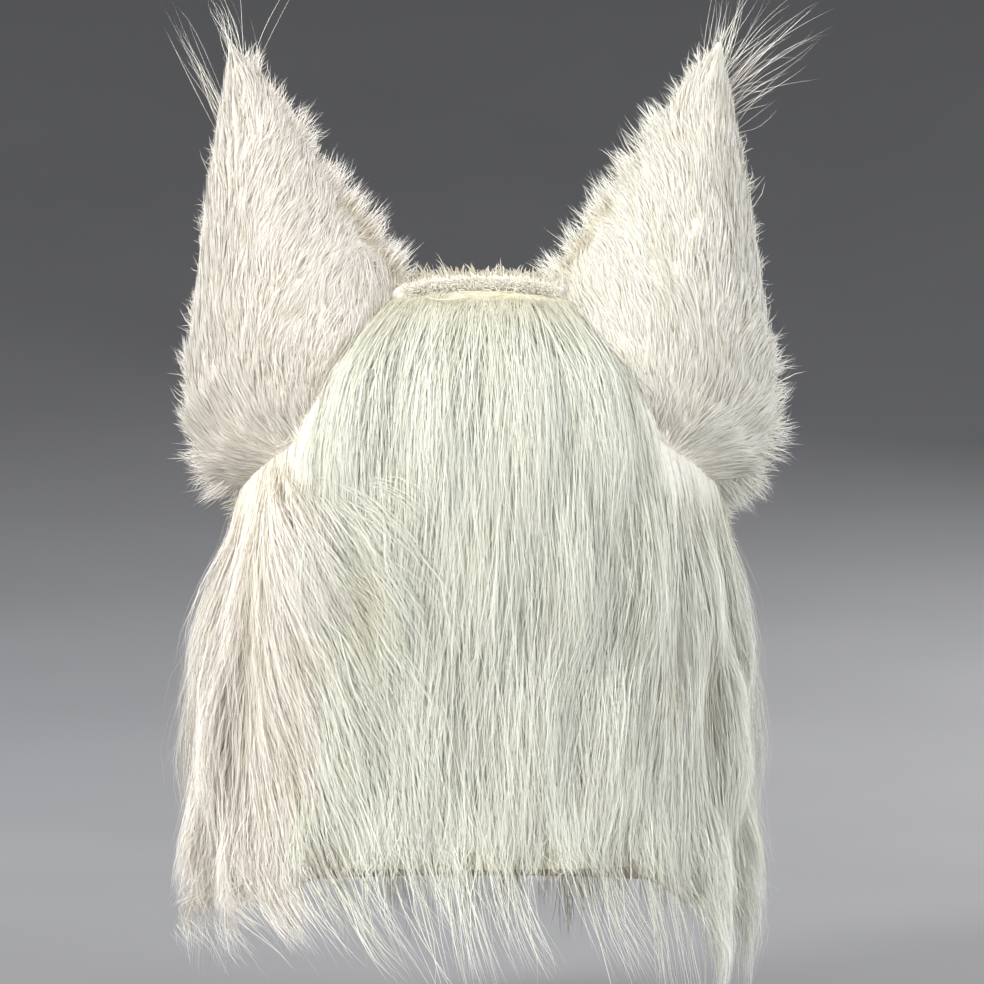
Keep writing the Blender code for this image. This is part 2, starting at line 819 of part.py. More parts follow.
def ear_ring(side, at, back, front, gap=0.0, skip=0):
    """One slanting section of an ear: along its back from edge to edge, then along its front."""
    across = [k / EAR_COLUMNS for k in range(skip, EAR_COLUMNS + 1 - skip)]
    out = [ear_spot(side, at, u, back, gap) for u in across]
    return out + [ear_spot(side, at, u, front, gap) for u in reversed(across)]


def ear_rings(side, gap=0.0):
    """An ear's sections and tip. A cutter is larger by the gap all round."""
    _, along, _ = ear_frame(side)
    rings = [ear_ring(side, at, 1.0, -1.0, gap) for at in range(len(EAR_ROWS))]
    for ring in rings:
        for k in (0, EAR_COLUMNS, EAR_COLUMNS + 1, -1):
            ring[k] = ring[k] - Vector((0, gap, 0))
    rings[0] = [point - along * gap for point in rings[0]]
    tip = ear_place(side, 0.0, 1.0, EAR_CUP * EAR_TIP_CUP) + along * gap
    return rings + [[tip]]


def ear_block(name, side, gap, collection):
    points, faces = loft(ear_rings(side, gap), "fold", None)
    return put_helper(face_outwards(put_mesh(name, points, faces, collection)))


def spike(root, tip, width, thickness, side_way, flat_way):
    """A free lock from root to tip: diamonds that narrow to a point."""
    rings = []
    for share, size in SPIKE_ROWS:
        middle = root.lerp(tip, share)
        rings.append(
            [
                middle - side_way * width / 2 * size,
                middle + flat_way * thickness / 2 * size,
                middle + side_way * width / 2 * size,
                middle - flat_way * thickness / 2 * size,
            ]
        )
    rings.append([tip])
    return rings


def rim_locks(side):
    """Spiky locks along both edges of an ear, pointing out at the base and up near the tip."""
    _, along, across = ear_frame(side)
    back = Vector((0, 1, 0))
    locks = []
    thickness = RIM_LOCK_WIDTH * RIM_LOCK_FLATNESS
    for edge, first, last, count in RIM_LOCK_RUNS:
        for k, at in enumerate(spaced(first, last, count)):
            root = ear_middle(side, at, 0.5 + 0.5 * edge) - across * edge * RIM_LOCK_SINK
            up = RIM_LOCK_UP + RIM_LOCK_UP_PER_ROW * at
            way = (across * edge * RIM_LOCK_OUT + along * up).normalized()
            tip = root + way * RIM_LOCK_LENGTH * (1 - RIM_LOCK_UNEVEN * (k % 2))
            side_way = way.cross(back).normalized()
            locks.append(spike(root, tip, RIM_LOCK_WIDTH, thickness, side_way, back))
    return locks


def tuft_locks(side):
    """The long locks inside an ear, from its hollow to past its tip."""
    _, _, across = ear_frame(side)
    locks = []
    for at, u, tip_across, tip_along, forward in TUFT_ROWS:
        root = ear_spot(side, at, u, TUFT_ROOT)
        tip = ear_place(side, tip_across, tip_along, -EAR_LENGTH * forward)
        locks.append(spike(root, tip, TUFT_WIDTH, TUFT_THICKNESS, across, Vector((0, 1, 0))))
    return locks


def make_ear_tuft(name, side, parts, helpers, material, cutters):
    """The long hair inside an ear: a thin pad in the hollow with locks that grow from it."""
    rings = [ear_ring(side, at, TUFT_PAD_BACK, TUFT_PAD_FRONT, skip=1) for at in (2, 3, 4, 5)]
    points, faces = loft(rings, "fold", "fold")
    pad = face_outwards(put_mesh(name, points, faces, parts, material))
    return add_locks(pad, tuft_locks(side), helpers, cutters)


def make_ear(name, side, parts, helpers, material, cutters):
    points, faces = loft(ear_rings(side), "fold", None)
    ear = face_outwards(put_mesh(name, points, faces, parts, material))
    return add_locks(ear, rim_locks(side), helpers, cutters)


def main():
    clear_scene()
    parts = make_collection("furry_wolf_mask")
    helpers = make_collection("cutters_and_locks")
    long_fur = make_material("long pile fur")
    short_fur = make_material("short pile fur")
    cream = make_material("bare backing")
    foam = make_material("foam")
    black = make_material("moulded nose")
    screen = make_material("eye screen")

    head = head_block("head_seat_cut", SEAT_GAP, helpers)
    muzzle_bore = muzzle_block("muzzle_bore", -MUZZLE_WALL, helpers)
    muzzle_seat = muzzle_block("muzzle_seat_cut", SEAT_GAP, helpers)
    nose_seat = put_helper(nose_shape("nose_seat_cut", SEAT_GAP, helpers))
    sides = {"left": 1, "right": -1}
    eyes = [eye_block(f"eye_cut_{word}", side, 0.0, helpers) for word, side in sides.items()]
    rims = [eye_block(f"eye_rim_cut_{word}", side, EYE_RIM, helpers) for word, side in sides.items()]
    ear_cuts = [ear_block(f"ear_cut_{word}", side, EAR_GAP, helpers) for word, side in sides.items()]

    make_hood(parts, foam, [muzzle_bore, *eyes])
    make_muzzle(parts, foam, head, nose_seat)
    nose_shape("nose", 0.0, parts, black)
    for word, side in sides.items():
        make_eye_screen(f"eye_screen_{word}", side, parts, screen)
        make_ear(f"ear_{word}", side, parts, helpers, short_fur, [head])
        ear_cut = ear_cuts[side < 0]
        make_ear_tuft(f"ear_tuft_{word}", side, parts, helpers, long_fur, [ear_cut])
        make_side_fur(word, side, parts, helpers, long_fur, [head, ear_cut])
    make_face_fur(
        parts, helpers, short_fur, [head, muzzle_seat, nose_seat, *rims, *ear_cuts]
    )
    make_crown_seam(parts, cream, [head, *ear_cuts])
    make_back_fur(parts, helpers, long_fur, [head, *ear_cuts])
    make_throat_fur(parts, helpers, long_fur, [head])


main()
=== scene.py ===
"""The looks of the furry wolf mask: pile in strands over every fur panel, its seam, foam, eyes and nose.

Metres, +Z up, the wolf looks along -Y and its left ear is at +X, as in the CAD. A place on the head is
a turn (angle round the head from the middle of the back towards +X) and a fall (height below the
crown); a place on an ear is a row of its outline (0 at the base, 6 below the tip) and a share u across.
Every strand is a flat ribbon that narrows to a point, and each panel's strands are one mesh.
"""

import json
import math

import bmesh
import bpy
import numpy as np
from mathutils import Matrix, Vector

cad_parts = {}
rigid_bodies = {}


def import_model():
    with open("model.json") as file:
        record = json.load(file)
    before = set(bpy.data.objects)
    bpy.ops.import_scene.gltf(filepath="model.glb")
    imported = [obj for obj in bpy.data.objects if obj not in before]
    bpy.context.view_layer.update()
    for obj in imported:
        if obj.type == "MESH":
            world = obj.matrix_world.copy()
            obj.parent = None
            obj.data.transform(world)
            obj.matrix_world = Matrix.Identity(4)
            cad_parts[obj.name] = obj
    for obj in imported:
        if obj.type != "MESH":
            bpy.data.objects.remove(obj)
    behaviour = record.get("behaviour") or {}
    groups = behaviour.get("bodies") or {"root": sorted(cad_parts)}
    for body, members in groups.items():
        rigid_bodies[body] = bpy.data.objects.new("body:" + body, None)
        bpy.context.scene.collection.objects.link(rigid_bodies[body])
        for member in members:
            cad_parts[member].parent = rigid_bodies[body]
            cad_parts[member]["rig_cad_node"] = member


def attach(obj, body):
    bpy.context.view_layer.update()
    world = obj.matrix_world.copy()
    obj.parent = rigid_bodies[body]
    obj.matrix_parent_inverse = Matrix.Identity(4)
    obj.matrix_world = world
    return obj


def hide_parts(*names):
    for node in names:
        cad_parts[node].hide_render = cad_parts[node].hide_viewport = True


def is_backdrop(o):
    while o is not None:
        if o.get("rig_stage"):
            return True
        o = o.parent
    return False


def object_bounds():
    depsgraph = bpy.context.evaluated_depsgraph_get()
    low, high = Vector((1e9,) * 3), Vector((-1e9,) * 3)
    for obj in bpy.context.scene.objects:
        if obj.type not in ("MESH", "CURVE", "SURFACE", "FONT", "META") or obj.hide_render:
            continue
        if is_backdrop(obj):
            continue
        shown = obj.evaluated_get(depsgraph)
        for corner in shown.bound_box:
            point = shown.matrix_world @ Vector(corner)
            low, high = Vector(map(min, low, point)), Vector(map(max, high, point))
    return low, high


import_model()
CAD_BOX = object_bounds()
SIDES = {"left": 1, "right": -1}

# The camera: the photograph's level view of the back, 984 pixels across at 0.55 mm a pixel
PHOTO_PIXELS = 984
PIXEL = 0.00055
VIEW_CENTRE = (-0.0066, 0.0, -0.1056)
CAMERA_DISTANCE = 2.4

# The head, with the CAD's sizes
HOOD_WIDTH = 0.256
HOOD_BACK = 0.134
HOOD_FRONT = 0.116
HOOD_HEIGHT = 0.330
HOOD_WALL = 0.005
CROWN_SHARE = 0.39
CROWN_POWER = 2.4
SECTION_POWER = 2.2
CENTRE_HEM_RISE = 0.022
HEM_RISE_FROM = math.radians(34)
HEM_RISE_TO = math.radians(56)
NECK_ROWS = (
    # height, width, back, front
    (0.39, 1.00, 1.00, 1.00),
    (0.52, 1.01, 0.97, 0.97),
    (0.65, 1.03, 0.91, 0.90),
    (0.80, 1.04, 0.88, 0.88),
    (1.00, 1.05, 0.91, 0.94),
)
BACKING = 0.0024
SEAT_GAP = 0.0003
FACE_PILE = 0.0085
MUZZLE_PILE = 0.0050

# The panels' edges and the long coat with its locks, with the CAD's sizes
BACK_EDGE = math.radians(46)
SIDE_EDGE_ROWS = (
    # height, turn of the side panel's front edge in degrees
    (0.00, 93.0),
    (0.34, 97.0),
    (0.52, 114.0),
    (0.68, 122.0),
    (1.00, 126.0),
)
CROWN_SEAM_FRONT = 0.049
CROWN_SEAM_FALL = 0.0126
CROWN_SEAM_THICKNESS = 0.0028
CROWN_SEAM_EDGE = math.radians(41)
BARE_SEAM = (-0.032, 0.014)
SIDE_TOP = 0.078
THROAT_TOP = 0.226
COAT_DEPTH = 0.0115
COAT_RISE_LENGTH = 0.045
PILE_LENGTH = 0.122
HAIR_END = 0.386
LOCK_WIDTH = 0.047
LOCK_RISE = 0.0115
LOCK_WOBBLE = 0.009
HEM_CLEAR = 0.004
WOBBLE_STEPS = (7.3, 4.1)

# The muzzle, nose and eyes, with the CAD's sizes
MUZZLE_LENGTH = 0.094
MUZZLE_WIDTH = 0.098
MUZZLE_HEIGHT = 0.080
MUZZLE_TOP = -0.127
MUZZLE_POWER = 2.5
MUZZLE_ROWS = (
    # length, width, top, bottom
    (-0.42, 1.16, 0.14, -1.06),
    (0.00, 1.00, 0.02, -1.00),
    (0.30, 0.86, -0.07, -0.98),
    (0.62, 0.74, -0.13, -0.94),
    (0.86, 0.64, -0.17, -0.88),
    (0.97, 0.46, -0.25, -0.76),
)
NOSE_SIZE = (0.046, 0.032, 0.031)
NOSE_DROP = 0.022
NOSE_SINK = 0.004
NOSE_TAPER = 0.20
EYE_WIDTH = 0.047
EYE_HEIGHT = 0.025
EYE_TILT = math.radians(17)
EYE_APART = 0.088
EYE_DROP = 0.104
EYE_RIM = 0.003

# The ears, with the CAD's sizes
EAR_LENGTH = 0.193
EAR_WIDTH = 0.146
EAR_CUP = 0.078
EAR_CUP_POWER = 0.55
EAR_THICKNESS = 0.015
EAR_THINNING = 0.45
EAR_EDGE_SHARE = 0.55
EAR_EDGE_STEP = 0.04
EAR_APART = 0.1836
EAR_DROP = 0.048
EAR_BACK = 0.012
EAR_LEAN = {1: math.radians(13.3), -1: math.radians(11.8)}
EAR_ROWS = (
    # inner edge: along, across; outer edge: along, across; cup
    (0.08, -0.37, -0.27, 0.27, 1.00),
    (0.22, -0.40, -0.20, 0.41, 0.96),
    (0.31, -0.365, -0.05, 0.47, 0.84),
    (0.44, -0.29, 0.13, 0.42, 0.66),
    (0.58, -0.21, 0.34, 0.32, 0.47),
    (0.74, -0.13, 0.58, 0.205, 0.30),
    (0.88, -0.065, 0.80, 0.095, 0.15),
    (1.00, 0.0, 1.00, 0.0, 0.02),
)

# The lay of the long pile. Angles are from straight down, towards the photograph's left.
SWEPT_ROWS = (
    # fall, angle of the sweep below the left ear
    (0.078, 0.00),
    (0.105, 1.30),
    (0.150, 1.05),
    (0.200, 0.70),
    (0.260, 0.38),
    (0.330, 0.20),
)
DRIFT_ROWS = (
    # turn in degrees, angle of the hanging ends' drift
    (-95, 0.0),
    (-68, 0.05),
    (-40, 0.30),
    (-15, 0.40),
    (0, 0.22),
    (22, 0.45),
    (45, 0.70),
    (80, 0.90),
    (105, 0.5),
)
WISP_ROWS = (
    # turn in degrees, share of the clumps that hang on below the hem
    (0, 0.10),
    (30, 0.10),
    (46, 0.15),
    (58, 0.24),
    (100, 0.20),
)
RIGHT_LEAN = 0.30
CLUMP = 0.0065
BIG_CLUMP = 0.022
SHORTEST = 0.012
SEAM_SHADE_REACH = 0.0055
SIDE_BODY = {"left": (0.007, 0.014), "right": (0.003, 0.003)}
THROAT_LENGTH = 0.80
UNDERFUR_SHARE = 0.5
UNDERFUR_SINK = 0.0012

# The short pile
EAR_PILE = 0.0200
EAR_FRONT_SHARE = 0.6
EAR_CLUMP = 0.0060
EAR_BIG_CLUMP = 0.020
EAR_ROW_STEP = 0.026
FACE_LENGTH = 0.0165
MUZZLE_STRAND = 0.0095
RIM_TUFTS = (
    # edge, first row, last row, tufts, length
    (-1, 1.0, 6.2, 60, 0.018),
    (1, 0.0, 3.0, 46, 0.018),
    (1, 2.8, 5.6, 30, 0.012),
)
RIM_TUFT_STRANDS = 24
CROWN_THREADS = (
    # first turn, last turn, fall, height of its bow
    (-0.50, -0.12, 0.0105, 0.005),
    (-0.30, 0.16, 0.0080, 0.004),
    (0.05, 0.40, 0.0110, 0.003),
)

# Strands: points along one, how many each panel has, and the width at the root as a share
LONG_POINTS = 6
SHORT_POINTS = 4
BACK_STRANDS = 11500
SEAM_STRANDS = 2500
SIDE_STRANDS = 10000
THROAT_STRANDS = 5500
FACE_STRANDS = 17000
MUZZLE_STRANDS = 7500
CROWN_EDGE_STRANDS = 2600
EAR_STRANDS = 15000
TUFT_STRANDS = 1000
ROOT_WIDTH = 0.75


# Numbers on arrays


def smooth_rows(rows, at):
    """The columns after the first at values of the first, on a cubic through the rows."""
    rows = np.asarray(rows, float)
    last = len(rows) - 1
    at = np.clip(at, rows[0, 0], rows[-1, 0])
    low = np.clip(np.searchsorted(rows[:, 0], at, side="right") - 1, 0, last - 1)
    before = np.maximum(np.arange(last + 1) - 1, 0)
    after = np.minimum(np.arange(last + 1) + 1, last)
    slopes = (rows[after, 1:] - rows[before, 1:]) / (rows[after, :1] - rows[before, :1])
    span = (rows[low + 1, 0] - rows[low, 0])[..., None]
    t = (at - rows[low, 0])[..., None] / span
    return (
        rows[low, 1:] * (2 * t**3 - 3 * t**2 + 1)
        + slopes[low] * span * (t**3 - 2 * t**2 + t)
        + rows[low + 1, 1:] * (3 * t**2 - 2 * t**3)
        + slopes[low + 1] * span * (t**3 - t**2)
    )


def fade(value, low, high):
    """1 below low, 0 above high, and a half cosine between them."""
    return 0.5 + 0.5 * np.cos(np.pi * np.clip((value - low) / (high - low), 0, 1))


def superpower(value, power):
    """A power that keeps the sign, for superellipse sections."""
    return np.copysign(np.abs(value) ** power, value)


def unit(vectors):
    return vectors / np.maximum(np.linalg.norm(vectors, axis=-1, keepdims=True), 1e-12)


def stack(x, y, z):
    return np.stack(np.broadcast_arrays(x, y, z), axis=-1)


# The head's shape


def hem_fall(turn):
    """How far the hem hangs below the crown: the middle of the back is cut higher."""
    turn = (turn + np.pi) % (2 * np.pi) - np.pi
    return HOOD_HEIGHT - CENTRE_HEM_RISE * fade(np.abs(turn), HEM_RISE_FROM, HEM_RISE_TO)


def head_section(fall):
    """Half width, back and front of the hood at a height: a dome down to the widest level, then rows."""
    share = np.maximum(fall, 0) / HOOD_HEIGHT
    inward = 1 - np.minimum(share / CROWN_SHARE, 1)
    dome = np.maximum(1 - inward**CROWN_POWER, 0) ** (1 / CROWN_POWER)
    rows = smooth_rows(NECK_ROWS, share)
    half_width = HOOD_WIDTH / 2 * dome * rows[..., 0]
    return half_width, HOOD_BACK * dome * rows[..., 1], HOOD_FRONT * dome * rows[..., 2]


def hood_point(turn, fall):
    """The hood's surface: a superellipse at each height, with its own depth at the back and the front."""
    half_width, back, front = head_section(fall)
    across, along = np.sin(turn), np.cos(turn)
    power = 2 / SECTION_POWER
    depth = np.where(along > 0, back, front)
    x = half_width * superpower(across, power)
    return stack(x, depth * superpower(along, power), HOOD_WALL - fall)


def head_out(turn, fall):
    """The hood's direction outwards: the cross product of its two slopes, straight up at the crown."""
    small_turn, small_fall = 0.02, 0.0015
    round_head = hood_point(turn + small_turn, fall) - hood_point(turn - small_turn, fall)
    down_head = hood_point(turn, fall + small_fall) - hood_point(turn, fall - small_fall)
    out = unit(np.cross(round_head, down_head))
    return np.where((fall < 2 * small_fall)[..., None], np.array([0.0, 0.0, 1.0]), out)


def head_point(turn, fall, lift):
    """A place off the hood by lift, along its direction outwards."""
    turn, fall, lift = np.broadcast_arrays(turn, fall, lift)
    return hood_point(turn, fall) + head_out(turn, fall) * lift[..., None]


def head_radius(fall):
    """The head's mean radius at a height, which turns an angle into a way round."""
    half_width, back, _ = head_section(fall)
    return np.maximum((half_width + back) / 2, 0.004)


FALL_STEPS = np.linspace(0, 0.6, 1201)
ARC_STEPS = np.concatenate(
    [[0], np.cumsum(np.hypot(np.diff(FALL_STEPS), np.diff(head_section(FALL_STEPS)[1])))]
)


def arc_of(fall):
    """The way down the back from the crown to a fall, measured over the dome."""
    return np.interp(fall, FALL_STEPS, ARC_STEPS)


def fall_of(arc):
    """The fall at a way down the back, the inverse of arc_of."""
    return np.interp(arc, ARC_STEPS, FALL_STEPS)


def side_edge(fall):
    """The turn of a side panel's front edge at a height."""
    return np.radians(smooth_rows(SIDE_EDGE_ROWS, fall / HOOD_HEIGHT)[..., 0])


def coat_lift(fall, top):
    """The long coat's height over the hood: thin at the panel's top, soon even."""
    return BACKING + (COAT_DEPTH - BACKING) * (1 - fade(fall, top, top + COAT_RISE_LENGTH))


# Making meshes


def put_mesh(name, points, triangles, material, shade=None):
    """A mesh object on body root. shade is an array of colours, one a point, for the material."""
    mesh = bpy.data.meshes.new(name)
    points = np.asarray(points, np.float32).reshape(-1, 3)
    triangles = np.asarray(triangles, np.int32).reshape(-1, 3)
    mesh.vertices.add(len(points))
    mesh.vertices.foreach_set("co", points.ravel())
    mesh.loops.add(triangles.size)
    mesh.loops.foreach_set("vertex_index", triangles.ravel())
    mesh.polygons.add(len(triangles))
    mesh.polygons.foreach_set("loop_start", np.arange(len(triangles), dtype=np.int32) * 3)
    mesh.polygons.foreach_set("use_smooth", np.ones(len(triangles), bool))
    mesh.update(calc_edges=True)
    if shade is not None:
        attribute = mesh.attributes.new("strand", "FLOAT_COLOR", "POINT")
        attribute.data.foreach_set("color", np.asarray(shade, np.float32).ravel())
    mesh.materials.append(material)
    built = bpy.data.objects.new(name, mesh)
    bpy.context.scene.collection.objects.link(built)
    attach(built, "root")
    return built


def grid_triangles(rows, columns, start=0, flip=False):
    """Two triangles for each cell of a grid of points, rows times columns."""
    index = start + np.arange(rows * columns).reshape(rows, columns)
    a, b, c, d = index[:-1, :-1], index[:-1, 1:], index[1:, 1:], index[1:, :-1]
    faces = np.stack([np.stack([a, b, c], -1), np.stack([a, c, d], -1)], -2).reshape(-1, 3)
    return faces[:, ::-1] if flip else faces


def slab(outer, inner):
    """A closed sheet between two grids of points, whose edges are joined all round.

    The faces look outwards when outer's rows cross its columns towards the outside.
    """
    rows, columns, _ = outer.shape
    index = np.arange(rows * columns).reshape(rows, columns)
    rim = np.concatenate([index[0, :-1], index[:-1, -1], index[-1, :0:-1], index[:0:-1, 0]])
    after = np.roll(rim, -1)
    under = rows * columns
    wall = np.concatenate(
        [np.stack([rim, rim + under, after + under], -1), np.stack([rim, after + under, after], -1)]
    )
    faces = [grid_triangles(rows, columns), grid_triangles(rows, columns, under, True), wall]
    return np.concatenate([outer.reshape(-1, 3), inner.reshape(-1, 3)]), np.concatenate(faces)


def tube(path, radius, sides=8):
    """A closed round bead along a path: rings square to it, whose radius may vary, and two poles."""
    path = np.asarray(path, float)
    radius = np.broadcast_to(radius, len(path))
    along = unit(np.gradient(path, axis=0))
    first = unit(np.cross(along, np.array([0.31, 0.17, 0.93])))
    second = np.cross(along, first)
    angle = np.arange(sides) * 2 * np.pi / sides
    ring = np.cos(angle)[None, :, None] * first[:, None] + np.sin(angle)[None, :, None] * second[:, None]
    points = path[:, None] + ring * radius[:, None, None]
    index = np.arange(len(path) * sides).reshape(len(path), sides)
    after = np.roll(index, -1, axis=1)
    a, b, c, d = index[:-1], after[:-1], after[1:], index[1:]
    faces = [np.stack([a, b, c], -1).reshape(-1, 3), np.stack([a, c, d], -1).reshape(-1, 3)]
    poles = len(path) * sides
    faces.append(np.stack([np.full(sides, poles), after[0], index[0]], -1))
    faces.append(np.stack([np.full(sides, poles + 1), index[-1], after[-1]], -1))
    ends = np.array([path[0] - along[0] * radius[0] * 0.7, path[-1] + along[-1] * radius[-1] * 0.7])
    return np.concatenate([points.reshape(-1, 3), ends]), np.concatenate(faces)


def join_shapes(shapes):
    """One list of points and one of faces, from several."""
    points, faces, start = [], [], 0
    for more_points, more_faces in shapes:
        points.append(more_points)
        faces.append(more_faces + start)
        start += len(more_points)
    return np.concatenate(points), np.concatenate(faces)


# Strands


def ribbons(paths, out, width, roll, tone, shadow=None):
    """Flat strands along paths, an array of strands times points.

    A strand's width runs from ROOT_WIDTH of its full width to full at a third of its length and to
    nothing at the tip. Its flat side looks outwards, turned about the strand by roll. Each point's
    shade is (share of the length, tone of the strand, shadow at the point).
    """
    count, steps, _ = paths.shape
    share = np.linspace(0, 1, steps)
    widening = ROOT_WIDTH + (1 - ROOT_WIDTH) * share / 0.34
    profile = np.where(share < 0.34, widening, 1 - ((share - 0.34) / 0.66) ** 2.2)
    along = unit(np.gradient(paths, axis=1))
    flat = unit(np.cross(along, out))
    standing = np.cross(along, flat)
    turned = flat * np.cos(roll)[:, None, None] + standing * np.sin(roll)[:, None, None]
    half = turned * (profile * 0.5)[None, :, None] * width[:, None, None]
    pairs = np.stack([paths - half, paths + half], axis=2)[:, :-1].reshape(count, -1, 3)
    points = np.concatenate([pairs, paths[:, -1:]], axis=1)
    per_strand = points.shape[1]
    low = np.arange(0, per_strand - 3, 2)
    first_half, second_half = np.stack([low, low + 1, low + 3], -1), np.stack([low, low + 3, low + 2], -1)
    quads = np.concatenate([first_half, second_half])
    tip = np.array([[per_strand - 3, per_strand - 2, per_strand - 1]])
    faces = np.concatenate([quads, tip])[None] + (np.arange(count) * per_strand)[:, None, None]
    along_share = np.append(np.repeat(share[:-1], 2), 1.0)
    shade = np.zeros((count, per_strand, 4))
    shade[..., 0] = along_share
    shade[..., 1] = tone[:, None]
    if shadow is not None:
        shade[..., 2] = np.concatenate([np.repeat(shadow[:, :-1], 2, axis=1), shadow[:, -1:]], axis=1)
    shade[..., 3] = 1
    return points.reshape(-1, 3), faces.reshape(-1, 3), shade.reshape(-1, 4)


def put_strands(name, bundles, material):
    """One piece from several bundles of ribbons."""
    points, faces = join_shapes([(bundle[0], bundle[1]) for bundle in bundles])
    return put_mesh(name, points, faces, material, np.concatenate([bundle[2] for bundle in bundles]))


def cells(first, second, size, rng):
    """(number of cells, cell of each root, offset from the cell's middle) on a jittered grid.

    The middles lie a size apart sideways, and cells are longer than wide, so clumps end at many levels.
    """
    column = np.floor(first / size + 0.5 * np.sin(second / size * 1.7))
    row = np.floor(second / (size * 2.6) + 0.37 * column)
    _, cell = np.unique(column * 4099 + row, return_inverse=True)
    cell = cell.ravel()
    number = cell.max() + 1
    total = np.bincount(cell, weights=first, minlength=number) / np.bincount(cell, minlength=number)
    middle = total + rng.normal(0, size * 0.12, number)
    return number, cell, first - middle[cell]


def panel_locks(columns, rows, low, high, first_tip, first_share, last_share):
    """(turn, start, length) of each lock of a panel, on the CAD's own shingle grid."""
    locks = []
    inset = (high - low) / (2 * columns)
    for row in range(rows):
        short = (rows - 1 - row) % 2
        share = row / (rows - 1)
        length = PILE_LENGTH * (first_share + (last_share - first_share) * share)
        aside = inset * (1 + short)
        for column, turn in enumerate(np.linspace(low + aside, high - aside, columns - short)):
            wobble = math.sin(WOBBLE_STEPS[0] * column + WOBBLE_STEPS[1] * row)
            tip = first_tip + (HAIR_END - first_tip) * share + LOCK_WOBBLE * wobble
            locks.append((turn, tip - length, length))
    return np.array(locks)


def lock_relief(locks, turn, fall):
    """How high the locks stand at a place, from 0 to 1: a half cosine across each, rows along it."""
    turn, fall = turn[..., None], fall[..., None]
    along = (fall - locks[:, 1]) / locks[:, 2]
    rise = np.interp(along, [0, 0.28, 0.68, 1], [0, 0.8, 1, 0], left=0, right=0)
    half_angle = LOCK_WIDTH * 0.95 / (2 * head_radius(fall))
    across = np.clip(np.abs(turn - locks[:, 0]) / half_angle, 0, 1)
    return (rise * (0.5 + 0.5 * np.cos(np.pi * across))).max(axis=-1)


# Hollows where the long pile parts: turn, fall, half width, half height, depth
HOLLOWS = (
    (math.radians(22), 0.172, 0.010, 0.022, 0.95),
    (math.radians(54), 0.182, 0.006, 0.042, 0.80),
    (math.radians(40), 0.248, 0.008, 0.028, 0.45),
    (math.radians(-57), 0.218, 0.008, 0.030, 0.70),
    (math.radians(-45), 0.205, 0.006, 0.034, 0.40),
)


def hollow_depth(turn, fall):
    """How far the pile is parted at a place, from 0 to 1: a smooth bell for each hollow."""
    depth = np.zeros(np.broadcast(turn, fall).shape)
    for at_turn, at_fall, half_width, half_height, strength in HOLLOWS:
        sideways = (turn - at_turn) * head_radius(fall) / half_width
        upright = (fall - at_fall) / half_height
        depth = np.maximum(depth, strength * np.exp(-(sideways**2) - upright**2))
    return depth


def brushing(turn, fall):
    """Which way the pile is brushed at its roots, as an angle from straight down.

    Left of the middle it is swept towards the back, level under the ear's lobe and steeper further
    down. Right of the middle it leans a little the other way, so the two meet in a shallow V.
    """
    degrees = np.degrees(turn)
    left = fade(-degrees, -32, -20) * fade(degrees, 56, 68)
    swept = np.interp(fall, *zip(*SWEPT_ROWS))
    right = fade(-degrees, 48, 58) * fade(degrees, -24, -14) * fade(np.abs(fall - 0.17), 0.05, 0.10)
    return -left * swept + RIGHT_LEAN * right


def blown(turn, fall):
    """How the hanging ends drift below the hem, as an angle: to the photograph's right, most at the left."""
    below = 1 - fade(fall, 0.262, 0.350)
    return -below * np.interp(np.degrees(turn), *zip(*DRIFT_ROWS))


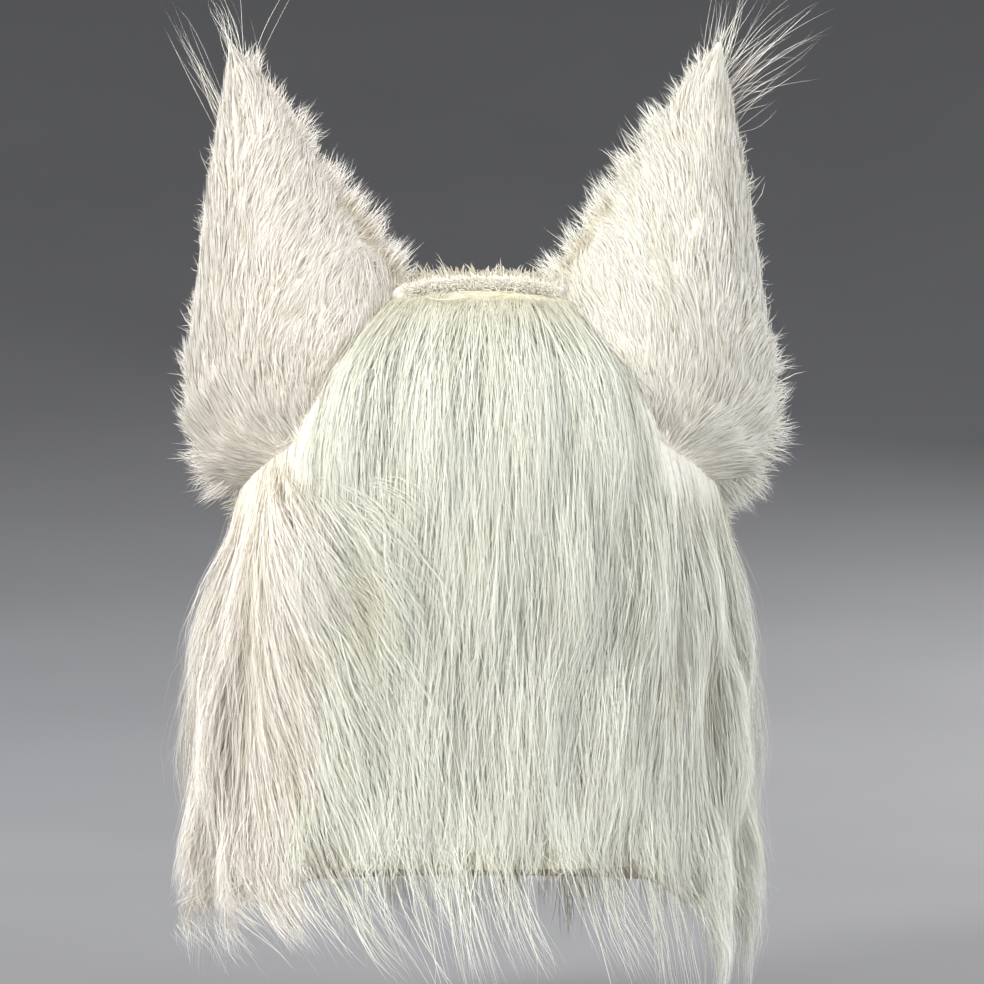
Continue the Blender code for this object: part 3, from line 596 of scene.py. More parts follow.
def long_pile(
    turn, fall, top, locks, rng, flow=brushing, drift=blown, fan=0.35, loose=0.05, proud=0.0, puff=0.0
):
    """Strands of long pile from roots on the head: (paths, directions outwards, tones, wild, shadow).

    A strand steps down the head by its length. Its way is turned from straight down by flow at its
    root, which dies out along it as gravity takes over, and by drift where it has got to. It rises
    from the backing to its own layer of the coat, is drawn to the middle of its clump towards the
    tip, and hangs on past the hem. fan is how far strands keep to a plumb line where the dome widens.
    proud lifts strands that cross the edge between the side and back panels, and puff those beside the
    cheeks.
    """
    count = len(turn)
    t = np.linspace(0, 1, LONG_POINTS)
    root_arc = arc_of(fall)
    sideways = turn * head_radius(fall)
    number, cell, offset = cells(sideways, root_arc, CLUMP, rng)
    big_number, big_cell, big_offset = cells(sideways + BIG_CLUMP / 2, root_arc, BIG_CLUMP, rng)
    angle = flow(turn, fall) * rng.normal(1, 0.16, number)[cell]
    swept = np.minimum(np.abs(angle), 1.3)
    length = PILE_LENGTH * rng.uniform(0.80, 1.06, count) * rng.normal(1.0, 0.05, number)[cell]
    length = length * (1 - 0.36 * swept)
    # most strands end about the hem, and single wisps hang on below it, more of them at the sides
    wisps = np.interp(np.abs(np.degrees(turn)), *zip(*WISP_ROWS))
    long_end = arc_of(HAIR_END) + 0.010 - 0.060 * rng.random(number)[cell] ** 1.3 - 0.016 * rng.random(count)
    short_end = arc_of(hem_fall(turn)) + 0.007 - 0.024 * rng.random(count)
    hangs_on = (rng.random(number)[cell] < wisps) | (rng.random(count) < 0.05)
    end = np.where(hangs_on, long_end, short_end)
    length = np.maximum(np.minimum(length, end - root_arc), SHORTEST)
    sway = np.where(hangs_on, 1.0, 0.20)
    wild = rng.random(count) < loose
    lean = (
        rng.normal(0, 0.050, number)[cell]
        + rng.normal(0, 0.035, big_number)[big_cell]
        + rng.normal(0, np.where(wild, 0.17, 0.055), count)
    )
    arc, path_turn = np.empty((2, count, LONG_POINTS))
    arc[:, 0], path_turn[:, 0] = root_arc, turn
    radius = head_radius(fall)
    for k in range(1, LONG_POINTS):
        way = angle * (1 - t[k - 1]) ** 0.8 + lean + sway * drift(path_turn[:, k - 1], fall_of(arc[:, k - 1]))
        step = length * (t[k] - t[k - 1])
        arc[:, k] = arc[:, k - 1] + step * np.cos(way)
        wider = head_radius(fall_of(arc[:, k]))
        path_turn[:, k] = path_turn[:, k - 1] * (radius / wider) ** fan + step * np.sin(way) / wider
        radius = wider
    path_fall = fall_of(arc)
    radius = head_radius(path_fall)
    hanging = 1 - fade(path_fall, 0.24, 0.33)
    ease = t**1.4
    aside = -offset[:, None] * (0.30 + 0.55 * hanging) * ease - big_offset[:, None] * 0.28 * hanging * ease
    bend = rng.normal(0, 0.0012, number)[cell] + rng.normal(0, 0.0016, count)
    second_bend = rng.normal(0, 0.0010, count)
    aside = aside + bend[:, None] * np.sin(np.pi * t) + second_bend[:, None] * np.sin(2 * np.pi * t)
    path_turn = path_turn + aside / radius
    layer = rng.beta(1.9, 1.0, count)
    fluff = 1 + rng.normal(0, 0.14, number)[cell]
    relief = lock_relief(locks, path_turn, path_fall)
    depth = coat_lift(path_fall, top) + LOCK_RISE * relief * fluff[:, None]
    shadow = hollow_depth(path_turn, path_fall)
    depth = depth * (1 - 0.70 * shadow)
    edge = fade(np.abs(np.abs(path_turn) - BACK_EDGE), 0.05, 0.50) * fade(path_fall, 0.20, 0.30)
    layers = (0.30 + 0.72 * layer)[:, None] * depth + proud * edge * t
    layers = layers + 0.0045 * swept[:, None] * np.sin(np.pi * t)
    beside = np.exp(-(((np.abs(path_turn) - 1.45) / 0.50) ** 2)) * (1 - fade(path_fall, 0.11, 0.22))
    layers = layers + puff * beside * (0.4 + 0.6 * layer)[:, None] * np.sin(np.pi * np.minimum(t * 0.8, 0.5))
    layers = layers + np.where(wild, rng.uniform(0.001, 0.009, count), 0)[:, None] * t
    lift = BACKING * 0.4 + (layers - BACKING * 0.4) * (1 - (1 - t) ** 2.6)
    paths = head_point(path_turn, path_fall, lift)
    out = head_out(path_turn, path_fall)
    # the layer term is painted light and shade: strands high in the coat are painted lighter, deep ones
    # darker, and deep strands take more of the painted hollow shadow
    tone = 0.46 + rng.normal(0, 0.09, number)[cell] + rng.normal(0, 0.22, count) + 0.26 * (layer - 0.5)
    return paths, out, np.clip(tone, 0, 1), wild, shadow * (0.55 + 0.45 * (1 - layer))[:, None]


def strand_widths(count, wild, rng):
    """Widths of strands: most are fine, one in twenty is a broader guard hair, loose ones are thinnest."""
    guard = rng.random(count) < 0.05
    broad, fine = rng.uniform(0.00045, 0.0006, count), rng.uniform(0.00020, 0.00044, count)
    return np.where(guard, broad, fine) * np.where(wild, 0.5, 1.0)


def scatter(count, low_turn, high_turn, top, rng, edge=None):
    """Roots spread evenly over a panel, from its top to its hem, between turns or up to an edge."""
    turn = rng.uniform(low_turn, high_turn, count * 3)
    bottom = hem_fall(turn)
    fall = fall_of(rng.uniform(arc_of(top), arc_of(HOOD_HEIGHT), count * 3))
    keep = (fall < bottom - HEM_CLEAR) & (rng.random(count * 3) < head_radius(fall) / 0.135)
    if edge is not None:
        keep &= np.abs(turn) < edge(fall)
    turn, fall = turn[keep][:count], fall[keep][:count]
    return turn, fall


def near_ear(points, side, clear):
    """Which points lie inside an ear's thickness or within clear of it, by a fine grid of its middle."""
    row, u = np.meshgrid(np.linspace(0, 7, 50), np.linspace(0, 1, 30), indexing="ij")
    middle = ear_middle(side, row, u).reshape(-1, 3)
    near = np.zeros(len(points), bool)
    for start in range(0, len(points), 4000):
        part = points[start : start + 4000]
        gap = ((part[:, None] - middle[None]) ** 2).sum(-1).min(axis=1)
        near[start : start + 4000] = gap < (EAR_THICKNESS / 2 + clear) ** 2
    return near


# The long panels


def coat_slab(turns, falls, top):
    """A panel's under-fur: a closed sheet over a grid of turns and falls, at a share of the coat."""
    outer = head_point(turns, falls, SEAT_GAP * 3 + (coat_lift(falls, top) - BACKING) * UNDERFUR_SHARE)
    inner = head_point(turns, falls, SEAT_GAP)
    return slab(outer, inner)


def panel_grid(low, high, top, rows, columns):
    """Turns and falls of a panel between two edge functions of the fall, down to the hem."""
    share, across = np.meshgrid(np.linspace(0, 1, rows), np.linspace(0, 1, columns), indexing="ij")
    fall = fall_of(arc_of(top) + share * (arc_of(HOOD_HEIGHT) - arc_of(top)))
    turn = low(fall) + (high(fall) - low(fall)) * across
    fall = np.minimum(fall, hem_fall(turn))
    fall = top + (fall - top) * (hem_fall(turn) - top) / (HOOD_HEIGHT - top)
    return turn, np.minimum(fall, hem_fall(turn))


def make_back_fur(fur, under):
    """The long panel down the middle of the back, straight down from the crown seam."""
    rng = np.random.default_rng(11)
    top = CROWN_SEAM_FALL + SEAT_GAP
    edge = BACK_EDGE - 0.009
    locks = panel_locks(5, 4, -edge, edge, top + PILE_LENGTH, 0.92, 1.0)
    turns, falls = panel_grid(lambda f: 0 * f - edge, lambda f: 0 * f + edge, top, 60, 48)
    coat = put_mesh("back_fur_underlayer", *coat_slab(turns, falls, top), under)
    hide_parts("back_fur")

    turn, fall = scatter(BACK_STRANDS, -edge, edge, top, rng)
    # a dense row of strands along the seam hides the panel's raw edge
    row = rng.uniform(-edge, edge, SEAM_STRANDS)
    start = slope_fall(row, CROWN_SEAM_FRONT) + 0.0012
    level = start + (top + 0.009 - start) * rng.random(SEAM_STRANDS)
    # and leaves a stretch of the crown seam bare
    aside = np.sin(row) * CROWN_SEAM_FRONT + rng.normal(0, 0.003, SEAM_STRANDS)
    bare = (aside > BARE_SEAM[0]) & (aside < BARE_SEAM[1])
    level = np.where(bare, np.maximum(level, top - 0.003 * rng.random(SEAM_STRANDS)), level)
    roots = ((turn, fall), (row, level))
    bundles = []
    for turn, fall in roots:
        paths, out, tone, wild, shadow = long_pile(turn, fall, top, locks, rng, fan=0.45)
        on_band = (fall < top)[:, None, None] * (1 - np.linspace(0, 1, LONG_POINTS))[:, None]
        paths = paths + out * on_band * (CROWN_SEAM_THICKNESS + 0.0010)
        shadow = np.maximum(shadow, seam_shadow(paths))
        width = strand_widths(len(paths), wild, rng)
        bundles.append(ribbons(paths, out, width, rng.normal(0, 0.3, len(paths)), tone, shadow))
    put_strands("back_fur_pile", bundles, fur)


def seam_shadow(points):
    """How near points are to the seams where the ears' inner edges meet the head, from 0 to 1."""
    shadow = np.zeros(points.shape[:-1])
    for side in SIDES.values():
        row = np.linspace(0, 3.2, 24)
        seam = ear_spot(side, row, 0 * row + 0.02, 1.0)
        for place in seam:
            gap = ((points - place) ** 2).sum(-1)
            shadow = np.maximum(shadow, np.exp(-gap / SEAM_SHADE_REACH**2))
    return shadow * 0.8


def make_side_fur(word, side, fur, under):
    """A long panel below one ear, round to the cheek, with its own fluff."""
    rng = np.random.default_rng(23 + side)
    low = BACK_EDGE + 0.009
    high = math.radians(SIDE_EDGE_ROWS[-1][1])
    locks = panel_locks(4, 3, low, high, SIDE_TOP + 0.150, 0.88, 1.0) * np.array([side, 1, 1])

    def front(fall):
        return side_edge(fall) - 0.011

    turns, falls = panel_grid(lambda f: 0 * f + low, front, SIDE_TOP, 46, 40)
    if side < 0:
        turns, falls = -turns[:, ::-1], falls[:, ::-1]
    coat = put_mesh(f"side_fur_{word}_underlayer", *coat_slab(turns, falls, SIDE_TOP), under)
    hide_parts(f"side_fur_{word}")
    turn, fall = scatter(SIDE_STRANDS, low - 0.02, high - 0.01, SIDE_TOP, rng, front)
    proud, puff = SIDE_BODY[word]
    paths, out, tone, wild, shadow = long_pile(
        turn * side, fall, SIDE_TOP, locks, rng, fan=0.0, loose=0.08, proud=proud, puff=puff
    )
    width = strand_widths(len(paths), wild, rng)
    bundle = ribbons(paths, out, width, rng.normal(0, 0.3, len(paths)), tone, shadow)
    put_strands(f"side_fur_{word}_pile", [bundle], fur)


def make_throat_fur(fur, under):
    """The long panel below the chin, between the two side panels."""
    rng = np.random.default_rng(37)
    low = math.radians(SIDE_EDGE_ROWS[-1][1]) + 0.011
    high = 2 * math.pi - low
    locks = panel_locks(4, 2, low, high, THROAT_TOP + 0.110, 0.80, 0.90)
    turns, falls = panel_grid(lambda f: 0 * f + low, lambda f: 0 * f + high, THROAT_TOP, 24, 48)
    coat = put_mesh("throat_fur_underlayer", *coat_slab(turns, falls, THROAT_TOP), under)
    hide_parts("throat_fur")
    turn, fall = scatter(THROAT_STRANDS, low, high, THROAT_TOP, rng)

    def flow(turn, fall):
        return 0.12 * np.sin(5 * turn) + 0.05 * np.sin(23 * fall)

    paths, out, tone, wild, _ = long_pile(
        turn, fall, THROAT_TOP, locks, rng, flow, lambda turn, fall: 0 * turn, fan=0.0
    )
    paths = paths[:, :1] + (paths - paths[:, :1]) * THROAT_LENGTH
    width = strand_widths(len(paths), wild, rng) * 1.2
    bundle = ribbons(paths, out, width, rng.normal(0, 0.3, len(paths)), tone)
    put_strands("throat_fur_pile", [bundle], fur)


# The ears


def ear_frame(side):
    """Centre, along and across of an ear: its base's middle, its way up and its way outwards."""
    lean = EAR_LEAN[side]
    centre = np.array([side * EAR_APART / 2, EAR_BACK, -EAR_DROP])
    along = np.array([side * math.sin(lean), 0, math.cos(lean)])
    across = np.array([side * math.cos(lean), 0, -math.sin(lean)])
    return centre, along, across


def ear_middle(side, row, u):
    """An ear's middle surface: straight from edge to edge of its outline, bulged to the back."""
    rows = np.asarray(EAR_ROWS)
    low = np.clip(np.floor(row).astype(int), 0, len(rows) - 2)
    part = (row - low)[..., None]
    shares = rows[low] + (rows[low + 1] - rows[low]) * part
    in_along, in_across, out_along, out_across, cup = np.moveaxis(shares, -1, 0)
    inside = np.clip(u, 0, 1)
    bulge = EAR_CUP * cup * np.sin(np.pi * inside) ** EAR_CUP_POWER
    centre, along, across = ear_frame(side)
    up = EAR_LENGTH * (in_along + (out_along - in_along) * inside)
    aside = EAR_WIDTH * (in_across + (out_across - in_across) * inside)
    flat = centre + along * up[..., None] + across * aside[..., None]
    return flat + stack(0 * bulge, bulge, 0 * bulge)


def ear_out(side, row, u):
    """The direction out of an ear's back."""
    _, along, _ = ear_frame(side)
    row = np.minimum(row, 6.6)
    way = ear_middle(side, row, u + EAR_EDGE_STEP) - ear_middle(side, row, u - EAR_EDGE_STEP)
    return unit(np.cross(along, way)) * side


def ear_normal(side, row, u):
    """The direction square to an ear's back, which also follows its slope from base to tip."""
    small = 0.02
    row, u = np.clip(row, small, 6.9), np.clip(u, 0.03, 0.97)
    by_row = ear_middle(side, row + small, u) - ear_middle(side, row - small, u)
    by_u = ear_middle(side, row, u + small) - ear_middle(side, row, u - small)
    return unit(np.cross(by_row, by_u)) * side


def ear_spot(side, row, u, layer, gap=0.0):
    """A place off an ear's middle surface: layer 1 is its back, -1 the hollow of its front."""
    thinner = 1 - EAR_THINNING * np.minimum(row, 6) / 6
    fullness = EAR_EDGE_SHARE + (1 - EAR_EDGE_SHARE) * np.sin(np.pi * np.clip(u, 0, 1))
    closing = np.clip(7 - row, 0, 1)
    half = EAR_THICKNESS / 2 * thinner * fullness * closing
    return ear_middle(side, row, u) + ear_out(side, row, u) * (layer * (half + gap))[..., None]


def make_ear_body(word, side, under):
    """The padded ear under its pile: two sheets that meet round the rim and at the tip."""
    row, u = np.meshgrid(np.linspace(0, 6.97, 56), np.linspace(0.002, 0.998, 30), indexing="ij")
    back = ear_spot(side, row, u, 1.0, -UNDERFUR_SINK)
    front = ear_spot(side, row, u, -1.0, -UNDERFUR_SINK)
    outer, inner = (back, front) if side < 0 else (back[:, ::-1], front[:, ::-1])
    body = put_mesh(f"ear_{word}_body", *slab(outer, inner), under)
    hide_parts(f"ear_{word}")


def ear_roots(side, count, rng, low_row=0.0, high_row=6.9, low_u=0.0, high_u=1.0):
    """Places spread evenly over an ear by its area."""
    row = rng.uniform(low_row, high_row, count * 4)
    u = rng.uniform(low_u, high_u, count * 4)
    small = 0.01
    by_row = ear_middle(side, row + small, u) - ear_middle(side, row - small, u)
    by_u = ear_middle(side, row, np.minimum(u + small, 1)) - ear_middle(side, row, np.maximum(u - small, 0))
    area = np.linalg.norm(np.cross(by_row, by_u), axis=-1)
    keep = rng.random(count * 4) < area / np.quantile(area, 0.97)
    return row[keep][:count], u[keep][:count]


def free_strands(root, way, out, length, rise, droop, points):
    """Strands that leave a surface: straight along way, lifted outwards by rise, bent down by droop."""
    t = np.linspace(0, 1, points)[None, :, None]
    reach = way[:, None] * length[:, None, None] * t
    lift = out[:, None] * rise[:, None, None] * (1 - (1 - t) ** 1.7)
    sag = np.array([0, 0, -1.0]) * droop[:, None, None] * t**2
    return root[:, None] + reach + lift + sag


def ear_way(side, row, u):
    """The pile's way on an ear's back, as an angle from its axis towards its inner edge.

    It leans towards the inner edge, less near the outer edge and the tip, and turns outwards and a
    little down on the lobe.
    """
    inward = np.interp(u, [0, 0.2, 0.5, 0.8, 1], [52, 40, 22, 8, 2]) * (0.15 + 0.85 * fade(row, 4.2, 6.4))
    lobe = np.interp(u, [0.35, 0.7, 1], [0, 55, 112]) * fade(row, 0.4, 2.4)
    out_of_middle = 0 if side > 0 else np.interp(u, [0.6, 1], [0, 38]) * fade(np.abs(row - 2), 0.8, 1.8)
    return np.radians(inward - lobe - out_of_middle)


def ear_direction(side, angle):
    """The direction in an ear's plane at an angle from its axis towards its inner edge."""
    _, along, across = ear_frame(side)
    return along * np.cos(angle)[:, None] - across * np.sin(angle)[:, None]


def ear_pile(side, layer, count, rng):
    """The short pile on one side of an ear, whose clumps' tips draw a little together."""
    centre, along, across = ear_frame(side)
    row, u = ear_roots(side, count, rng)
    root = ear_spot(side, row, u, layer, -0.0015)
    out = ear_normal(side, row, u) * layer
    number, cell, _ = cells(u * EAR_WIDTH, row * EAR_ROW_STEP, EAR_CLUMP, rng)
    big_number, big_cell, _ = cells(u * EAR_WIDTH + EAR_BIG_CLUMP / 2, row * EAR_ROW_STEP, EAR_BIG_CLUMP, rng)
    angle = ear_way(side, row, u) + 0.12 * np.sin(2.3 * row + 6.1 * u + side)
    angle = angle + rng.normal(0, 0.13, number)[cell] + rng.normal(0, 0.13, big_number)[big_cell]
    way = ear_direction(side, angle + rng.normal(0, 0.14, len(row)))
    tip = centre + along * EAR_LENGTH * 1.05 + np.array([0, 0.004, 0])
    near_tip = (1 - fade(row, 5.0, 6.6))[:, None]
    way = unit(way * (1 - near_tip) + unit(tip - root) * near_tip)
    # the strands round the middle of the base are brushed every way, so that they cover it
    loose = fade(row, 0.6, 1.6) * fade(np.abs(u - 0.5), 0.16, 0.34)
    way = unit(way + ear_direction(side, rng.uniform(-0.4, 2.6, len(row))) * (0.9 * loose)[:, None])
    way = unit(way - out * (way * out).sum(-1, keepdims=True))
    size = rng.normal(1, 0.10, number)[cell] * rng.uniform(0.75, 1.1, len(row))
    length = EAR_PILE * size * (1 - 0.30 * near_tip[:, 0]) * (1.0 if layer > 0 else EAR_FRONT_SHARE)
    rise = length * rng.uniform(0.06, 0.20, len(row)) * (1 + rng.normal(0, 0.15, number)[cell])
    curl = (way * across).sum(-1) ** 2
    paths = free_strands(root, way, out, length, rise - length * 0.12 * curl, length * 0.08, SHORT_POINTS)
    tips = paths[:, -1]
    total = np.stack([np.bincount(cell, weights=tips[:, k], minlength=number) for k in range(3)], -1)
    middle = total / np.bincount(cell, minlength=number)[:, None]
    ease = np.linspace(0, 1, SHORT_POINTS) ** 1.3
    pull = (middle[cell] - tips)[:, None] * ease[None, :, None] * 0.30
    tone = 0.50 + rng.normal(0, 0.06, number)[cell] + rng.normal(0, 0.16, len(row))
    tone = tone + rng.normal(0, 0.05, big_number)[big_cell]
    return paths + pull, out, np.clip(tone, 0, 1)


def rim_spikes(side, rng):
    """Pointed tufts along an ear's two edges, each a sheaf of strands that meet at its tip."""
    bundles = []
    for edge, low, high, tufts, reach in RIM_TUFTS:
        middle_row = np.sort(rng.uniform(low, high, tufts))
        strands = tufts * RIM_TUFT_STRANDS
        row = np.repeat(middle_row, RIM_TUFT_STRANDS) + rng.normal(0, 0.09, strands)
        u = np.full(len(row), 0.5 + 0.5 * edge) - edge * rng.uniform(0, 0.06, len(row))
        root = ear_spot(side, np.clip(row, 0, 6.8), u, 1.0, -0.004)
        centre = ear_spot(side, middle_row, np.full(tufts, 0.5 + 0.5 * edge), 1.0, -0.004)
        angle = ear_way(side, middle_row, np.full(tufts, 0.5 + 0.5 * edge)) + rng.normal(0, 0.18, tufts)
        back = np.array([0, 1.0, 0])
        way = unit(ear_direction(side, angle) + back * rng.normal(0, 0.20, tufts)[:, None])
        length = reach * rng.uniform(0.35, 1.1, tufts)
        tip = np.repeat(centre + way * length[:, None], RIM_TUFT_STRANDS, axis=0)
        tip = tip + rng.normal(0, 0.0032, tip.shape)
        t = np.linspace(0, 1, SHORT_POINTS)[None, :, None]
        straight = root[:, None] + (tip - root)[:, None] * t
        bow = rng.normal(0, 0.0016, (len(row), 1, 3)) * np.sin(np.pi * t)
        out = np.broadcast_to(back, root.shape)
        tone = np.clip(0.55 + rng.normal(0, 0.18, len(row)), 0, 1)
        bundles.append((straight + bow, out, tone))
    return bundles


def make_ear_fur(word, side, fur):
    """An ear's short pile on its back, its hollow front and both its edges."""
    rng = np.random.default_rng(53 + side)
    sets = [ear_pile(side, 1.0, EAR_STRANDS, rng), ear_pile(side, -1.0, EAR_STRANDS // 4, rng)]
    sets += rim_spikes(side, rng)
    bundles = []
    for paths, out, tone in sets:
        count = len(paths)
        width = rng.uniform(0.00022, 0.00046, count)
        out = np.broadcast_to(out[:, None], paths.shape)
        shadow = seam_shadow(paths)
        bundles.append(ribbons(paths, out, width, rng.normal(0, 0.3, count), tone, shadow))
    put_strands(f"ear_{word}_pile", bundles, fur)


# Long wisps past each ear's tip: start and end (across, along) as shares of the ear, spread, strands
TIP_WISPS = {
    "left": (
        ((0.060, 0.66), (0.200, 1.150), 0.022, 26),
        ((-0.010, 0.85), (0.020, 1.200), 0.020, 26),
        ((-0.030, 0.84), (-0.150, 1.180), 0.080, 5),
    ),
    "right": (
        ((0.000, 0.80), (0.030, 1.200), 0.060, 40),
        ((0.010, 0.82), (0.260, 1.180), 0.090, 34),
        ((0.030, 0.80), (0.400, 1.080), 0.080, 16),
        ((0.040, 0.70), (0.300, 0.960), 0.060, 9),
    ),
}


def make_ear_tuft(word, side, fur):
    """The long hair inside an ear, up its hollow, with the wisps that pass the tip.

    Each strand is a quadratic curve from its root by a middle that is pushed forward to its tip.
    """
    rng = np.random.default_rng(71 + side)
    centre, along, across = ear_frame(side)

    def place(aside, up, forward):
        flat = centre + along * (EAR_LENGTH * up)[:, None] + across * (EAR_WIDTH * aside)[:, None]
        return flat - stack(0 * forward, forward, 0 * forward)

    row, u = ear_roots(side, TUFT_STRANDS, rng, 1.2, 5.6, 0.12, 0.82)
    number, cell, _ = cells(u * EAR_WIDTH, row * EAR_ROW_STEP, 0.015, rng)
    root = ear_spot(side, row, u, -1.0, -0.001)
    up = 0.50 + 0.085 * row + rng.normal(0, 0.05, number)[cell] + rng.normal(0, 0.03, len(row))
    up = np.minimum(up, 0.96)
    aside = ((u - 0.5) * 0.55 + 0.02) * np.clip(1.02 - up, 0.05, 1) * 1.4
    tip = place(aside, up, EAR_LENGTH * rng.uniform(0.03, 0.10, len(row)))
    middle = (root + tip) / 2 + np.array([0, -0.012, 0]) + rng.normal(0, 0.003, root.shape)
    sets = [(root, middle, tip, rng.uniform(0.00025, 0.00050, len(row)))]
    for start, end, spread, strands in TIP_WISPS[word]:
        ones = np.ones(strands)
        root_across = start[0] + rng.normal(0, 0.02, strands)
        root_up = start[1] + rng.normal(0, 0.02, strands)
        root = place(root_across, root_up, 0.004 * ones)
        bow = rng.normal(0.10, 0.06, strands)
        share = rng.uniform(0.40, 1.0, strands)
        goal_across = start[0] + (end[0] - start[0]) * share + rng.normal(0, spread, strands)
        goal_up = start[1] + (end[1] - start[1]) * share + rng.normal(0, spread * 0.4, strands)
        goal_up = np.minimum(goal_up, 1.18)
        goal_across = np.minimum(goal_across, 0.42)
        tip = place(goal_across, goal_up, rng.normal(0.004, 0.012, strands))
        half_across = start[0] + (goal_across - start[0]) * 0.42
        half_up = start[1] + (goal_up - start[1]) * (0.5 + bow)
        middle = place(half_across, half_up, 0.008 * ones)
        middle = middle + rng.normal(0, 0.0045, middle.shape)
        sets.append((root, middle, tip, rng.uniform(0.00015, 0.00028, strands)))
    t = np.linspace(0, 1, 9)[None, :, None]
    bundles = []
    for root, middle, tip, width in sets:
        paths = root[:, None] * (1 - t) ** 2 + middle[:, None] * 2 * t * (1 - t) + tip[:, None] * t**2
        phase = rng.uniform(0, 6, (len(root), 1, 1))
        wave = rng.normal(0, 0.0018, (len(root), 1, 3)) * np.sin(2 * np.pi * t + phase) * t
        out = np.broadcast_to(np.array([0, 1.0, 0]), paths.shape)
        tone = np.clip(0.6 + rng.normal(0, 0.15, len(root)), 0, 1)
        bundles.append(ribbons(paths + wave, out, width, rng.normal(0, 0.6, len(root)), tone))
    piece = put_strands(f"ear_tuft_{word}_hair", bundles, fur)
    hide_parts(f"ear_tuft_{word}")


# The face


def muzzle_point(share, angle, outset):
    """The muzzle's surface: rounded sections from the face to the nose, grown outwards by outset."""
    rows = smooth_rows(MUZZLE_ROWS, share)
    width, top, bottom = np.moveaxis(rows, -1, 0)
    half_width = MUZZLE_WIDTH / 2 * width + outset
    middle = MUZZLE_TOP + MUZZLE_HEIGHT * (top + bottom) / 2
    half_height = MUZZLE_HEIGHT * (top - bottom) / 2 + outset
    power = 2 / MUZZLE_POWER
    y = -HOOD_FRONT - MUZZLE_LENGTH * share - outset * np.maximum(share, 0)
    x = half_width * superpower(np.cos(angle), power)
    return stack(x, y, middle + half_height * superpower(np.sin(angle), power))


def muzzle_out(share, angle):
    """The direction square to the muzzle: the cross product of its two slopes."""
    small = 0.01
    by_share = muzzle_point(share + small, angle, 0.0) - muzzle_point(share - small, angle, 0.0)
    by_angle = muzzle_point(share, angle + small, 0.0) - muzzle_point(share, angle - small, 0.0)
    return unit(np.cross(by_share, by_angle))


def in_eye(points, grow):
    """Which points lie in front of an eye's almond opening, grown by a margin."""
    inside = np.zeros(points.shape[:-1], bool)
    for side in SIDES.values():
        x = points[..., 0] * side - EYE_APART / 2
        z = points[..., 2] + EYE_DROP
        along = x * math.cos(EYE_TILT) + z * math.sin(EYE_TILT)
        up = -x * math.sin(EYE_TILT) + z * math.cos(EYE_TILT)
        across = np.clip(np.abs(along) / (EYE_WIDTH / 2 + grow), 0, 1)
        inside |= (np.abs(up) < (EYE_HEIGHT / 2 + grow) * (1 - across**2) ** 0.68) & (points[..., 1] < 0)
    return inside


def in_muzzle(points, grow):
    """Which points of the face lie behind the muzzle's root."""
    width, top, bottom = smooth_rows(MUZZLE_ROWS, np.array(0.0))
    middle = MUZZLE_TOP + MUZZLE_HEIGHT * (top + bottom) / 2
    across = np.abs(points[..., 0]) / (MUZZLE_WIDTH / 2 * width + grow)
    up = np.abs(points[..., 2] - middle) / (MUZZLE_HEIGHT * (top - bottom) / 2 + grow)
    return (across**MUZZLE_POWER + up**MUZZLE_POWER < 1) & (points[..., 1] < 0)


def face_pile(count, rng):
    """Short pile over crown, brow and cheeks, combed back from the nose and a little down."""
    turn = rng.uniform(-np.pi, np.pi, count * 4)
    fall = fall_of(rng.uniform(0, arc_of(THROAT_TOP), count * 4))
    keep = rng.random(count * 4) < head_radius(fall) / 0.135
    turn, fall = turn[keep], fall[keep]
    root = head_point(turn, fall, FACE_PILE * 0.80)
    keep = root[:, 1] < CROWN_SEAM_FRONT - 0.001
    keep &= (fall < SIDE_TOP) | (np.abs(turn) > side_edge(fall) + 0.03)
    keep &= ~in_eye(root, EYE_RIM + 0.0015) & ~in_muzzle(root, MUZZLE_PILE)
    turn, fall, root = turn[keep], fall[keep], root[keep]
    for side in SIDES.values():
        keep = ~near_ear(root, side, 0.001)
        turn, fall, root = turn[keep], fall[keep], root[keep]
    turn, fall, root = turn[:count], fall[:count], root[:count]
    out = head_out(turn, fall)
    nose = np.array([0, -HOOD_FRONT - MUZZLE_LENGTH, MUZZLE_TOP - NOSE_DROP])
    way = unit(root - nose) + np.array([0, 0.30, -0.10])
    behind = fade(root[:, 1], 0.0, CROWN_SEAM_FRONT)[:, None]
    way = way - out * (way * out).sum(-1, keepdims=True)
    number, cell, _ = cells(turn * 0.12, arc_of(fall), 0.009, rng)
    way = unit(unit(way) + rng.normal(0, 0.16, (number, 3))[cell] + rng.normal(0, 0.08, root.shape))
    eye_gap = np.where(in_eye(root, 0.014), 0.55, 1.0)
    length = FACE_LENGTH * eye_gap * rng.uniform(0.8, 1.1, len(root)) * rng.normal(1, 0.08, number)[cell]
    length = length * (0.40 + 0.60 * behind[:, 0])
    rise = length * rng.uniform(0.12, 0.36, len(root))
    paths = free_strands(root, way, out, length, rise, length * 0.10, SHORT_POINTS)
    keep = ~in_eye(paths[:, -1], EYE_RIM * 0.3) & ~in_eye(paths[:, 2], EYE_RIM * 0.3)
    tone = np.clip(0.55 + rng.normal(0, 0.12, number)[cell] + rng.normal(0, 0.15, len(root)), 0, 1)
    return paths[keep], out[keep], tone[keep]


